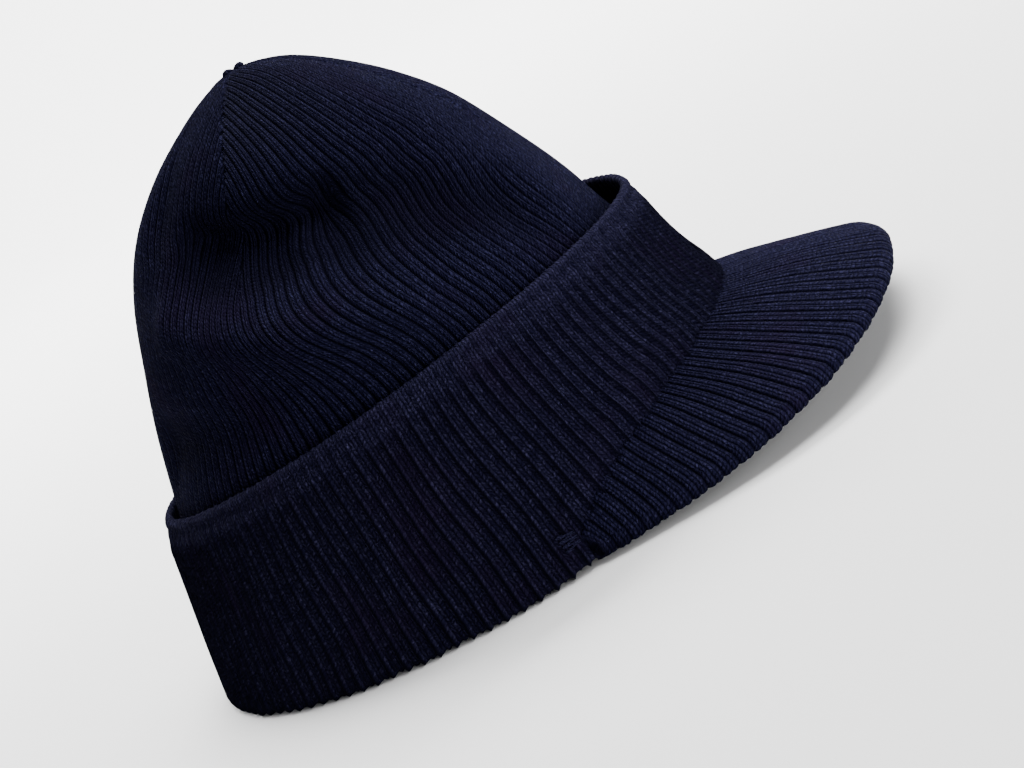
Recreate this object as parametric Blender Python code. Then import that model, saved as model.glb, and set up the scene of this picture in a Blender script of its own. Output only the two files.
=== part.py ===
"""Rib-knit visor cap, made of three soft pieces.

crown  pointed dome shell, knitted in four panels, that runs down inside the cuff to the rim
cuff   turned-up band, folded under the crown's lower edge at the rim
visor  short padded peak, sewn along an arch on the front of the cuff

Metres, +Z up, front towards -Y, the wearer's right towards -X, resting on the rim at z = 0.
Angles are measured round the head from the front, towards the wearer's right.
"""
import math
from collections import namedtuple

import bmesh
import bpy
import numpy as np

# Rim and crown; an oval's power of 2 is an ellipse, and more is squarer
RIM_HALF_LENGTH = 0.1074
RIM_HALF_WIDTH = 0.0903
RIM_POWER = 2.1
CROWN_HEIGHT = 0.1629

# Knitted cloth
CLOTH_THICKNESS = 0.0032
RIB_RELIEF = 0.0006
CLEARANCE = 0.0003
SIDE_CLEARANCE = 0.0007

# Panels of the crown, divided by darts that start at a share of the crown's height. Above,
# ribs run along a line at a share of the panel's width from its first dart, and narrow by
# a power of the panel's own narrowing
PANEL_COUNT = 4
RIBS_PER_PANEL = 30
DART_START = 0.672
RIB_LINE = 0.42
RIB_NARROWING = 0.25

# Cuff
CUFF_HEIGHT = 0.0661
CUFF_FRONT_RISE = 0.0069
CUFF_SIDE_RISE = 0.0027
CUFF_TOP_HALF_LENGTH = 0.0905
CUFF_TOP_HALF_WIDTH = 0.0812
CUFF_TOP_POWER = 1.85
CUFF_TOP_SET_BACK = 0.0026
CUFF_FRONT_HOLLOW = 0.0030
HEM_WIDTH = 0.0100

# Lift of the cuff's rim at the visor's ends, as a share of the cloth's thickness
RIM_PINCH = 0.55
RIM_PINCH_HALF_ANGLE = math.radians(5.0)

# Visor; the powers give its root's arch, its corners and the droop of its edge
VISOR_HALF_ANGLE = math.radians(67.5)
VISOR_ROOT_HEIGHT = 0.0328
VISOR_ROOT_POWER = 0.48
VISOR_REACH = 0.0380
VISOR_CORNER_POWER = 7.4
VISOR_CORNER_ROUNDING = 0.48
VISOR_SPREAD = 0.0042
VISOR_EDGE_HEIGHT = 0.0191
VISOR_DROOP_POWER = 1.65
VISOR_THICKNESS = 0.0045
VISOR_END_LIFT = 0.0015
VISOR_END_REACH = 0.0020
VISOR_CAMBER = 0.0015
VISOR_RIB_COUNT = 54

# Fineness of the solids
SMOOTH_FACETS = 48
VISOR_SMOOTH_FACETS = 32
ARC_SAMPLES = 96
DART_SEARCH_STEPS = 400
MERGE_DISTANCE = 0.00001
TINY = 1e-12
SLOPE_STEP = 0.01

# Sections of the crown above the cuff: height as a share of CROWN_HEIGHT, front and back
# reach as shares of CUFF_TOP_HALF_LENGTH, side as a share of CUFF_TOP_HALF_WIDTH. The tip
# has no length, and a back reach that is its front reach below zero sets it forward.
Section = namedtuple("Section", "height front back side")
CROWN_SECTIONS = (
    Section(0.396, 0.866, 0.918, 0.920),
    Section(0.516, 0.798, 0.844, 0.868),
    Section(0.637, 0.704, 0.746, 0.794),
    Section(0.746, 0.610, 0.645, 0.689),
    Section(0.836, 0.489, 0.526, 0.554),
    Section(0.909, 0.360, 0.368, 0.395),
    Section(0.963, 0.240, 0.189, 0.224),
    Section(0.990, 0.135, 0.060, 0.092),
    Section(1.000, 0.052, -0.052, 0.000),
)
HIDDEN_SECTIONS = 2
TIP = HIDDEN_SECTIONS + len(CROWN_SECTIONS) - 1.0

# Folds of the crown, each along a straight run between two places: angles in degrees,
# heights, half width and the depth at each end as shares of CROWN_HEIGHT. A negative
# depth is a roll.
Fold = namedtuple("Fold", "angle height end_angle end_height half_width depth end_depth")
CROWN_FOLDS = (
    Fold(112, 0.745, 70, 0.705, 0.064, 0.032, 0.040),
    Fold(118, 0.780, 62, 0.738, 0.034, 0.050, 0.044),
    Fold(132, 0.846, 39, 0.714, 0.095, 0.028, 0.022),
    Fold(62, 0.685, 27, 0.545, 0.083, 0.032, 0.034),
    Fold(128, 0.704, 64, 0.520, 0.048, -0.024, -0.024),
    Fold(150, 0.475, 102, 0.486, 0.066, 0.026, 0.006),
    Fold(298, 0.498, 255, 0.473, 0.045, 0.034, 0.034),
    Fold(290, 0.606, 250, 0.596, 0.060, -0.012, -0.012),
)

# The deep fold draws the ribs under it towards the back: by how much at most, where, and
# the shares of the crown's height over which this grows and fades
RIB_DRAW = math.radians(13.0)
RIB_DRAW_MIDDLE = math.radians(66.0)
RIB_DRAW_HALF_ANGLE = math.radians(24.0)
RIB_DRAW_GROWS = (0.42, 0.69)
RIB_DRAW_FADES = (0.71, 0.93)

# Rows over the crown's outer face from its tip down, as places in the sections, and
# how much of the rib relief each has; then the rows up its inner face
CrownRow = namedtuple("CrownRow", "place ribs")
OUTER_ROWS = (
    CrownRow(TIP, 0.0),
    CrownRow(9.0, 1.0),
    CrownRow(8.0, 1.0),
    CrownRow(7.3, 1.0),
    CrownRow(6.6, 1.0),
    CrownRow(6.0, 1.0),
    CrownRow(5.6, 1.0),
    CrownRow(5.3, 1.0),
    CrownRow(5.0, 1.0),
    CrownRow(4.7, 1.0),
    CrownRow(4.3, 1.0),
    CrownRow(3.8, 1.0),
    CrownRow(3.3, 1.0),
    CrownRow(2.7, 1.0),
    CrownRow(1.75, 1.0),
    CrownRow(1.0, 0.0),
    CrownRow(0.0, 0.0),
)
INNER_ROWS = (0.0, 1.0, 2.0, 2.7, 3.3, 3.8, 4.3, 4.7, 5.0, 5.3, 5.6, 6.0, 6.6, 7.3, 8.0, 9.0, TIP)

# Cross-section of the cuff, once round: distance inwards of the wall's face in cloth
# thicknesses and clearances, height in cloth thicknesses, in shares of the wall and in
# hem widths below its top, and rib relief
CuffRow = namedtuple("CuffRow", "inwards gaps lift wall hems ribs")
CUFF_ROWS = (
    CuffRow(0.58, 0.0, 0.0, 0.0, 0.0, 0.0),
    CuffRow(0.20, 0.0, 0.3, 0.0, 0.0, 0.6),
    CuffRow(0.00, 0.0, 1.0, 0.0, 0.0, 1.0),
    CuffRow(0.00, 0.0, 0.0, 0.5, 0.0, 1.0),
    CuffRow(0.00, 0.0, 0.0, 1.0, 1.0, 1.0),
    CuffRow(0.10, 0.0, -0.3, 1.0, 0.0, 0.4),
    CuffRow(0.50, 0.0, 0.0, 1.0, 0.0, 0.0),
    CuffRow(0.90, 0.0, -0.3, 1.0, 0.0, 0.0),
    CuffRow(1.00, 0.0, 0.0, 0.5, 0.0, 0.0),
    CuffRow(1.00, 0.0, 1.0, 0.0, 0.0, 0.0),
    CuffRow(2.00, 1.0, 1.0, 0.0, 0.0, 0.0),
    CuffRow(1.90, 0.0, 0.4, 0.0, 0.0, 0.0),
    CuffRow(1.52, 0.0, 0.0, 0.0, 0.0, 0.0),
)

# Cross-section of the visor, once round: share of the way from root to edge,
# depth below the upper face in thicknesses, and rib relief
VisorRow = namedtuple("VisorRow", "reach depth ribs")
VISOR_ROWS = (
    VisorRow(0.00, 0.0, 1.0),
    VisorRow(0.33, 0.0, 1.0),
    VisorRow(0.66, 0.0, 1.0),
    VisorRow(0.95, 0.0, 1.0),
    VisorRow(1.00, 0.3, 1.0),
    VisorRow(1.00, 0.7, 0.0),
    VisorRow(0.95, 1.0, 0.0),
    VisorRow(0.50, 1.0, 0.0),
    VisorRow(0.00, 1.0, 0.0),
)

# Finishes: colour and roughness of the knitted cloth
Finish = namedtuple("Finish", "name colour roughness")
CROWN_KNIT = Finish("crown_knit", (0.0075, 0.0085, 0.0300, 1.0), 0.90)
CUFF_KNIT = Finish("cuff_knit", (0.0085, 0.0095, 0.0330, 1.0), 0.90)
VISOR_KNIT = Finish("visor_knit", (0.0090, 0.0105, 0.0360, 1.0), 0.88)


def turned(angle, middle=0.0):
    """Angle from the middle, the shorter way round."""
    return (angle - middle + math.pi) % (2.0 * math.pi) - math.pi


def oval(angle, half_length, half_width, power=RIM_POWER):
    """Points of a rounded oval section, as x and y."""
    cosine = np.cos(angle)
    sine = np.sin(angle)
    size = (np.abs(cosine) ** power + np.abs(sine) ** power) ** (-1.0 / power)
    return -sine * size * half_width, -cosine * size * half_length


def cuff_top(angle):
    """Height of the cuff's top edge."""
    front = CUFF_FRONT_RISE * np.cos(angle)
    return CUFF_HEIGHT + front + CUFF_SIDE_RISE * np.sin(angle) ** 2


def cuff_wall(height, angle):
    """Points on the mean outer face of the cuff's wall."""
    share = height / cuff_top(angle)
    rim_x, rim_y = oval(angle, RIM_HALF_LENGTH, RIM_HALF_WIDTH)
    top_x, top_y = oval(angle, CUFF_TOP_HALF_LENGTH, CUFF_TOP_HALF_WIDTH, CUFF_TOP_POWER)
    top_y = top_y + CUFF_TOP_SET_BACK
    hollow = CUFF_FRONT_HOLLOW * np.sin(math.pi * share ** 2) * np.cos(angle / 2.0) ** 4
    x = rim_x + (top_x - rim_x) * share
    y = rim_y + (top_y - rim_y) * share + hollow
    return np.stack((x, y, height + 0.0 * angle), axis=-1)


def level_outward(height, angle):
    """Level unit normals of the cuff's wall."""
    ahead = cuff_wall(height, angle + SLOPE_STEP)
    along = ahead - cuff_wall(height, angle - SLOPE_STEP)
    normal = np.stack((-along[:, 1], along[:, 0], 0.0 * angle), axis=-1)
    return normal / np.linalg.norm(normal, axis=1, keepdims=True)


def crown_table():
    """Crown sections in metres, from the lower edge on the cuff's fold to the tip."""
    lower_edge = CLOTH_THICKNESS + CLEARANCE
    inside = CLOTH_THICKNESS + SIDE_CLEARANCE
    front, right, back = cuff_wall(lower_edge, np.radians((0.0, 90.0, 180.0)))
    seat = (lower_edge, -front[1] - inside, back[1] - inside, -right[0] - inside)
    rows = [
        (
            section.height * CROWN_HEIGHT,
            section.front * CUFF_TOP_HALF_LENGTH,
            section.back * CUFF_TOP_HALF_LENGTH,
            section.side * CUFF_TOP_HALF_WIDTH,
        )
        for section in CROWN_SECTIONS
    ]
    halfway = tuple((low + high) / 2.0 for low, high in zip(seat, rows[0]))
    return np.array([seat, halfway] + rows)


def smooth_read(table, place):
    """Read a table between its rows, on a smooth curve through them."""
    last = len(table) - 1
    place = np.clip(place, 0.0, last)
    start = np.minimum(np.floor(place).astype(int), last - 1)
    share = (place - start)[..., None]
    before = table[np.maximum(start - 1, 0)]
    here = table[start]
    after = table[start + 1]
    beyond = table[np.minimum(start + 2, last)]
    leave = (after - before) / 2.0
    arrive = (beyond - here) / 2.0
    square = share * share
    cube = square * share
    return (
        here * (2.0 * cube - 3.0 * square + 1.0)
        + leave * (cube - 2.0 * square + share)
        + after * (3.0 * square - 2.0 * cube)
        + arrive * (cube - square)
    )


def fold_depth(angle, height):
    """How far the folds press the crown inwards at each place."""
    depth = np.zeros_like(angle)
    scale = np.array((RIM_HALF_WIDTH / CROWN_HEIGHT, 1.0))
    for fold in CROWN_FOLDS:
        start = np.array((math.radians(fold.angle), fold.height))
        end = np.array((math.radians(fold.end_angle), fold.end_height))
        run = (end - start) * scale
        across = turned(angle, start[0]) * scale[0]
        up = height / CROWN_HEIGHT - start[1]
        share = np.clip((across * run[0] + up * run[1]) / (run @ run), 0.0, 1.0)
        away = np.hypot(across - share * run[0], up - share * run[1])
        deep = fold.depth + (fold.end_depth - fold.depth) * share
        depth += deep * CROWN_HEIGHT * np.exp(-(away / fold.half_width) ** 2)
    return depth


def crown_form(place, angle):
    """Points of the crown's mean outer face."""
    height, front, back, side = np.moveaxis(smooth_read(crown_table(), place), -1, 0)
    half_length = (front + back) / 2.0
    x, y = oval(angle, half_length, side)
    width = np.hypot(x, y)
    pressed = np.maximum(width - fold_depth(angle, height), 0.0)
    drawn_in = pressed / np.maximum(width, TINY)
    set_forward = (front - back) / 2.0
    return np.stack((x * drawn_in, y * drawn_in - set_forward, height), axis=-1)


def crown_outward(place, angle):
    """Unit normals of the crown, level at its lower edge and upright at its tip."""
    along = crown_form(place, angle + SLOPE_STEP) - crown_form(place, angle - SLOPE_STEP)
    up = crown_form(place + SLOPE_STEP, angle) - crown_form(place - SLOPE_STEP, angle)
    normal = np.cross(up, along)
    normal[place == 0.0, 2] = 0.0
    normal[place == TIP] = (0.0, 0.0, 1.0)
    return normal / np.linalg.norm(normal, axis=-1, keepdims=True)


def panel_arcs(place):
    """Angles and lengths along each panel of the crown's section at one place."""
    arcs = []
    for panel in range(PANEL_COUNT):
        share = (panel + np.linspace(0.0, 1.0, ARC_SAMPLES)) / PANEL_COUNT
        angle = share * 2.0 * math.pi
        points = crown_form(np.full(ARC_SAMPLES, place), angle)
        lengths = np.linalg.norm(np.diff(points, axis=0), axis=1)
        arcs.append((angle, np.concatenate(((0.0,), np.cumsum(lengths)))))
    return arcs


def smooth_step(low, high, value):
    """Rises smoothly from 0 at low to 1 at high."""
    share = np.clip((value - low) / (high - low), 0.0, 1.0)
    return share * share * (3.0 - 2.0 * share)


def drawn_ribs(angle, place):
    """Angles of the ribs, drawn towards the back where the deep fold pulls them."""
    height = smooth_read(crown_table(), np.array(place))[0] / CROWN_HEIGHT
    pull = smooth_step(*RIB_DRAW_GROWS, height) - smooth_step(*RIB_DRAW_FADES, height)
    away = turned(angle, RIB_DRAW_MIDDLE) / RIB_DRAW_HALF_ANGLE
    return angle + RIB_DRAW * pull * np.exp(-away ** 2)


def dart_place():
    """Place in the crown's sections at which the darts start."""
    places = np.linspace(0.0, TIP, DART_SEARCH_STEPS)
    heights = smooth_read(crown_table(), places)[:, 0]
    return float(np.interp(DART_START * CROWN_HEIGHT, heights, places))


def crown_angles(place, columns):
    """Angle of each column, with ribs that end at the darts, and which do."""
    start_arcs = panel_arcs(dart_place())
    angles = np.zeros(len(columns))
    on_dart = np.zeros(len(columns), dtype=bool)
    per_panel = columns[-1] / PANEL_COUNT
    for panel, (angle, length) in enumerate(panel_arcs(place)):
        share = columns / per_panel - panel
        mine = (share >= 0.0) & (share <= 1.0)
        ribs_off = (share[mine] - RIB_LINE) * RIBS_PER_PANEL
        total = length[-1]
        start_total = start_arcs[panel][1][-1]
        narrowed = min(1.0, total / start_total) ** RIB_NARROWING
        pitch = max(start_total * narrowed, total) / RIBS_PER_PANEL
        along = np.clip(total * RIB_LINE + ribs_off * pitch, 0.0, total)
        along = np.where(along < pitch / 4.0, 0.0, along)
        along = np.where(total - along < pitch / 4.0, total, along)
        angles[mine] = drawn_ribs(np.interp(along, length, angle), place)
        on_dart[mine] = (along == 0.0) | (along == total)
    return angles, on_dart


def gathered(columns, facets):
    """Gather the columns of a smooth row onto a few even facets."""
    step = columns[-1] / facets
    return np.round(np.round(columns / step) * step).astype(int)


def rib_wave(columns):
    """Ribs stand out on odd columns and sink between them."""
    return np.where(columns % 2 == 1, 1.0, -1.0)


def crown_points():
    """Rows of points down the outer face, round the lower edge and up the inner face."""
    columns = np.arange(2 * RIBS_PER_PANEL * PANEL_COUNT + 1)
    smooth = gathered(columns, SMOOTH_FACETS)
    rows = []
    for row in OUTER_ROWS:
        used = columns if row.ribs else smooth
        angle, on_dart = crown_angles(row.place, columns)
        places = np.full(len(columns), row.place)
        points = crown_form(places, angle[used])
        wave = np.where(on_dart, -1.0, rib_wave(columns))
        relief = RIB_RELIEF * row.ribs * wave
        rows.append(points + crown_outward(places, angle[used]) * relief[:, None])
    for place in INNER_ROWS:
        angle = crown_angles(place, columns)[0][smooth]
        places = np.full(len(columns), place)
        points = crown_form(places, angle)
        rows.append(points - crown_outward(places, angle) * CLOTH_THICKNESS)
    return np.array(rows)


def rim_pinch(angle):
    """How far the seams at the visor's ends draw the rim up, as a share of the cloth."""
    away = (np.abs(turned(angle)) - VISOR_HALF_ANGLE) / RIM_PINCH_HALF_ANGLE
    return RIM_PINCH * np.exp(-away ** 2)


def cuff_points():
    """Rows of points once round the cuff's cross-section, the first repeated at the end."""
    columns = np.arange(2 * RIBS_PER_PANEL * PANEL_COUNT + 1)
    smooth = gathered(columns, SMOOTH_FACETS)
    rows = []
    for row in CUFF_ROWS:
        used = columns if row.ribs else smooth
        angle = used / columns[-1] * 2.0 * math.pi
        wall_part = row.wall * (cuff_top(angle) - row.hems * HEM_WIDTH)
        fold_part = row.lift + (1.0 - row.lift) * rim_pinch(angle) * (row.wall == 0.0)
        height = fold_part * CLOTH_THICKNESS + wall_part
        inwards = row.inwards * CLOTH_THICKNESS + row.gaps * CLEARANCE
        out = RIB_RELIEF * row.ribs * rib_wave(columns) - inwards
        rows.append(cuff_wall(height, angle) + level_outward(height, angle) * out[:, None])
    rows.append(rows[0])
    return np.array(rows)


def visor_root(across, depth):
    """Points of the visor's root on the cuff, across from one end to the other."""
    end_height = VISOR_THICKNESS + VISOR_END_LIFT
    rise = (VISOR_ROOT_HEIGHT - end_height) * (1.0 - across ** 2) ** VISOR_ROOT_POWER
    height = end_height + rise - depth
    angle = across * VISOR_HALF_ANGLE
    stand_off = RIB_RELIEF + CLEARANCE
    return cuff_wall(height, angle) + level_outward(height, angle) * stand_off


def visor_edge(across, depth):
    """Points of the visor's free edge, across from one end to the other."""
    end_height = VISOR_THICKNESS + VISOR_END_LIFT
    angle = across * VISOR_HALF_ANGLE
    x, y = oval(angle, RIM_HALF_LENGTH, RIM_HALF_WIDTH)
    corner = (1.0 - np.abs(across) ** VISOR_CORNER_POWER) ** VISOR_CORNER_ROUNDING
    reach = VISOR_END_REACH + (VISOR_REACH - VISOR_END_REACH) * corner
    x = x - VISOR_SPREAD * np.sin(math.pi * across)
    rise = (VISOR_EDGE_HEIGHT - end_height) * (1.0 - np.abs(across) ** VISOR_DROOP_POWER)
    return np.stack((x, y - reach, end_height + rise - depth), axis=-1)


def visor_points():
    """Rows of points once round the visor's cross-section, the first repeated at the end.

    The ribs fan out: each runs from its place on the root to one further round the edge.
    """
    columns = np.arange(2 * VISOR_RIB_COUNT + 1)
    smooth = gathered(columns, VISOR_SMOOTH_FACETS)
    rows = []
    for row in VISOR_ROWS:
        used = columns if row.ribs else smooth
        across = used / VISOR_RIB_COUNT - 1.0
        depth = row.depth * VISOR_THICKNESS
        root = visor_root(across, depth)
        edge = visor_edge(np.sin(math.pi / 2.0 * across), depth)
        points = root + (edge - root) * row.reach
        camber = VISOR_CAMBER * (1.0 - across ** 2) * math.sin(math.pi * row.reach)
        points[:, 2] += camber + RIB_RELIEF * row.ribs * rib_wave(columns)
        rows.append(points)
    rows.append(rows[0])
    return np.array(rows)


def knit_material(finish):
    """Material of the knitted cloth."""
    material = bpy.data.materials.new(finish.name)
    material.use_nodes = True
    shader = material.node_tree.nodes["Principled BSDF"]
    shader.inputs["Base Color"].default_value = finish.colour
    shader.inputs["Roughness"].default_value = finish.roughness
    shader.inputs["Metallic"].default_value = 0.0
    material.diffuse_color = finish.colour
    return material


def wrapped_piece(name, points, finish):
    """Wrap a grid round rows of points and close it into one solid."""
    row_count = len(points) - 1
    column_count = len(points[0]) - 1
    shape = bmesh.new()
    bmesh.ops.create_grid(shape, x_segments=column_count, y_segments=row_count, size=1.0)
    for vert in shape.verts:
        column = round((vert.co.x + 1.0) / 2.0 * column_count)
        row = round((vert.co.y + 1.0) / 2.0 * row_count)
        vert.co = points[row][column]
    bmesh.ops.remove_doubles(shape, verts=shape.verts, dist=MERGE_DISTANCE)
    ends = [edge for edge in shape.edges if edge.is_boundary]
    bmesh.ops.holes_fill(shape, edges=ends, sides=0)
    bmesh.ops.triangulate(shape, faces=shape.faces)
    bmesh.ops.recalc_face_normals(shape, faces=shape.faces)
    mesh = bpy.data.meshes.new(name)
    shape.to_mesh(mesh)
    shape.free()
    mesh.materials.append(knit_material(finish))
    piece = bpy.data.objects.new(name, mesh)
    bpy.context.collection.objects.link(piece)
    return piece


def centre_on_origin(pieces):
    """Move the pieces along Y so that their common box is centred over the origin."""
    reach = [vert.co.y for piece in pieces for vert in piece.data.vertices]
    middle = (min(reach) + max(reach)) / 2.0
    for piece in pieces:
        for vert in piece.data.vertices:
            vert.co.y -= middle


def main():
    """Build the cap."""
    for old in list(bpy.data.objects):
        bpy.data.objects.remove(old)
    pieces = [
        wrapped_piece("crown", crown_points(), CROWN_KNIT),
        wrapped_piece("cuff", cuff_points(), CUFF_KNIT),
        wrapped_piece("visor", visor_points(), VISOR_KNIT),
    ]
    centre_on_origin(pieces)


main()
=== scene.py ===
"""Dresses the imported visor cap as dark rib-knit cloth, on a pale floor under soft light.

The crown, the cuff and the visor are laid out again as finely ribbed cloth over the same form
as their solids, and the small gathered and sewn details are added to them. Metres, +Z up, front
towards -Y, the wearer's right towards -X. Angles run round the head from the front, towards the
wearer's right. A pair of numbers called a range says where something starts and where it is full.
"""
from __future__ import annotations

import logging
import math
from dataclasses import dataclass
from enum import Enum
from typing import NamedTuple

import bmesh
import bpy
import numpy as np
from mathutils import Matrix, Vector


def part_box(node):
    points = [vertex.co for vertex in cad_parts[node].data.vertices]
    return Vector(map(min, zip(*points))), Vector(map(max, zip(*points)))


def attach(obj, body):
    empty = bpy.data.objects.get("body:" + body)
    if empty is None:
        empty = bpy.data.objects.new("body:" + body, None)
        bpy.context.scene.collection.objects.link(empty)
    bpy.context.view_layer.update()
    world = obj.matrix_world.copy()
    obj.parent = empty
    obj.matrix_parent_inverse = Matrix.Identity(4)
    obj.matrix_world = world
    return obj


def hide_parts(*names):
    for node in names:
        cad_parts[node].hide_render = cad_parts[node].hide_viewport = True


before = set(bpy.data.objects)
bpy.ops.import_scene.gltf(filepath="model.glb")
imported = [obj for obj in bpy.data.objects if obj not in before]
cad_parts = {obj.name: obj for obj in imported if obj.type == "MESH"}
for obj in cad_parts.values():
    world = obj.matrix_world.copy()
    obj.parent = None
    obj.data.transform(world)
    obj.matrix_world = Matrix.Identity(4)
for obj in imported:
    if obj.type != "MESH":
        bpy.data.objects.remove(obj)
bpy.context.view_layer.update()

LOG = logging.getLogger("visor_cap")
BODY = "root"
WELD_DISTANCE = 0.00001
TURN = 2.0 * math.pi
TINY = 1e-12
STITCH_LENGTH = 0.0014
CREST_ROUNDING = 0.6
GROOVE_DEPTH = 0.50
GROOVE_HALF_WIDTH = 0.11

Pair = tuple[float, float]
Colour = tuple[float, float, float, float]


class Side(Enum):
    """Sides of the cap, as the wearer sees them, and their sign in angles."""

    RIGHT = 1.0
    LEFT = -1.0


class Mask(Enum):
    """Masks over the cloth that the knitted finishes read."""

    RIB_DEPTH = "rib_depth"
    # Painted shade in the crown's folds and on the visor's turned edge and underside.
    PAINTED_SHADE = "painted_shade"
    # Painted highlight along the cuff's top edge, and the fuzz of the threads at the visor's ends.
    FUZZ_AND_EDGE_HIGHLIGHT = "fuzz_and_edge_highlight"


class Section(NamedTuple):
    """A section of the crown: height as a share of its height, the others of the cuff's top.

    Front and back are distances from the cap's middle; past the middle they are negative.
    """

    height: float
    front: float
    back: float
    side: float


class Fold(NamedTuple):
    """A straight fold of the crown between two places; a negative depth is a roll.

    Angles are in degrees, the rest in shares of the crown's height.
    """

    angle: float
    height: float
    end_angle: float
    end_height: float
    half_width: float
    depth: float
    end_depth: float


CROWN_SECTIONS = (
    Section(0.396, 0.866, 0.918, 0.920),
    Section(0.516, 0.798, 0.844, 0.868),
    Section(0.637, 0.704, 0.746, 0.794),
    Section(0.746, 0.610, 0.645, 0.689),
    Section(0.836, 0.489, 0.526, 0.554),
    Section(0.909, 0.360, 0.368, 0.395),
    Section(0.963, 0.240, 0.189, 0.224),
    Section(0.990, 0.135, 0.060, 0.092),
    Section(1.000, 0.052, -0.052, 0.000),
)
CROWN_FOLDS = (
    Fold(112, 0.745, 70, 0.705, 0.064, 0.032, 0.040),
    Fold(118, 0.780, 62, 0.738, 0.034, 0.050, 0.044),
    Fold(132, 0.846, 39, 0.714, 0.095, 0.028, 0.022),
    Fold(62, 0.685, 27, 0.545, 0.083, 0.032, 0.034),
    Fold(128, 0.704, 64, 0.520, 0.048, -0.024, -0.024),
    Fold(150, 0.475, 102, 0.486, 0.066, 0.026, 0.006),
    Fold(298, 0.498, 255, 0.473, 0.045, 0.034, 0.034),
    Fold(290, 0.606, 250, 0.596, 0.060, -0.012, -0.012),
)
CREASES = (
    Fold(128, 0.742, 86, 0.712, 0.052, 0.012, 0.018),
    Fold(66, 0.742, 58, 0.730, 0.034, -0.016, -0.016),
    Fold(60, 0.735, 22, 0.585, 0.050, 0.012, 0.012),
    Fold(146, 0.520, 98, 0.500, 0.060, 0.014, 0.005),
)
HIDDEN_SECTIONS = 2
TIP = HIDDEN_SECTIONS + len(CROWN_SECTIONS) - 1.0


def smooth_step(low: float, high: float, value: np.ndarray) -> np.ndarray:
    """Rises smoothly from 0 at low to 1 at high."""
    share = np.clip((value - low) / (high - low), 0.0, 1.0)
    return share * share * (3.0 - 2.0 * share)


def bump(value: np.ndarray, middle: float | np.ndarray, half_width: float) -> np.ndarray:
    """A rounded hump of height 1 at the middle."""
    return np.exp(-(((value - middle) / half_width) ** 2))


def turned(angle: np.ndarray, middle: float = 0.0) -> np.ndarray:
    """Angle from the middle, the shorter way round."""
    return (angle - middle + math.pi) % TURN - math.pi


@dataclass(frozen=True)
class Slack:
    """Gentle unevenness of hand-knitted cloth, a sum of slanting waves.

    Attributes:
        most_turns: The most waves once round the head.
        seed: Start of the random draw.
        waves: How many waves are added up.
        pace: Least and most turning of a wave along the cloth, in radians for each metre.
    """

    most_turns: int
    seed: int
    waves: int = 7
    pace: Pair = (20.0, 160.0)

    def at(self, around: np.ndarray, along: np.ndarray) -> np.ndarray:
        """Works out the unevenness.

        Args:
            around: Angles round the head; the unevenness closes after a full turn.
            along: Distances up the cloth, in metres.

        Returns:
            Values of about -1 to 1.
        """
        draw = np.random.default_rng(self.seed)
        total = np.zeros(np.broadcast(around, along).shape)
        for _ in range(self.waves):
            turns = draw.integers(1, self.most_turns + 1)
            pace = draw.uniform(*self.pace)
            phase = draw.uniform(0.0, TURN)
            total = total + np.sin(turns * around + pace * along + phase)
        return total / math.sqrt(self.waves)


def rib_profile(ribs: np.ndarray) -> np.ndarray:
    """Height of the ribs, from -1 in the channels to 1, with a groove between their two wales.

    Args:
        ribs: Rib coordinate, a whole number in each channel.

    Returns:
        Heights of the same shape.
    """
    share = ribs - np.floor(ribs)
    crest = np.sin(math.pi * share) ** CREST_ROUNDING
    groove = GROOVE_DEPTH * bump(share, 0.5, GROOVE_HALF_WIDTH)
    return 2.0 * (crest - groove) - 1.0


def smooth_read(table: np.ndarray, place: np.ndarray) -> np.ndarray:
    """Reads a table between its rows, on a smooth curve through them.

    Args:
        table: Rows of values.
        place: Places in the table, as row numbers with fractions.

    Returns:
        A row of values for each place.
    """
    last = len(table) - 1
    place = np.clip(place, 0.0, last)
    start = np.minimum(np.floor(place).astype(int), last - 1)
    share = (place - start)[..., None]
    before = table[np.maximum(start - 1, 0)]
    here = table[start]
    after = table[start + 1]
    beyond = table[np.minimum(start + 2, last)]
    square = share * share
    cube = square * share
    return (
        here * (2.0 * cube - 3.0 * square + 1.0)
        + (after - before) / 2.0 * (cube - 2.0 * square + share)
        + after * (3.0 * square - 2.0 * cube)
        + (beyond - here) / 2.0 * (cube - square)
    )


def grid_normals(points: np.ndarray, closed_columns: bool) -> np.ndarray:
    """Unit normals of a grid of points whose rows close on themselves.

    Args:
        points: Rows by columns by 3; the last row repeats the first.
        closed_columns: Whether the last column repeats the first as well.

    Returns:
        Normals of the same shape, outward when rows run up the outside.
    """
    inner = points[:-1]
    along = np.roll(inner, -1, axis=0) - np.roll(inner, 1, axis=0)
    along = np.concatenate((along, along[:1]))
    if closed_columns:
        round_it = np.roll(points[:, :-1], -1, axis=1) - np.roll(points[:, :-1], 1, axis=1)
        round_it = np.concatenate((round_it, round_it[:, :1]), axis=1)
    else:
        round_it = np.gradient(points, axis=1)
    normal = np.cross(round_it, along)
    length = np.linalg.norm(normal, axis=-1, keepdims=True)
    return normal / np.maximum(length, TINY)


def run_lengths(points: np.ndarray) -> np.ndarray:
    """Distance of each grid point from the first row, along its own column."""
    steps = np.linalg.norm(np.diff(points, axis=0), axis=-1)
    return np.concatenate((np.zeros((1, steps.shape[1])), np.cumsum(steps, axis=0)))


def join(*columns: np.ndarray | float) -> np.ndarray:
    """Joins columns of values into rows, where a plain number is the same in each row."""
    return np.stack(np.broadcast_arrays(*columns), axis=-1)


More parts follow.
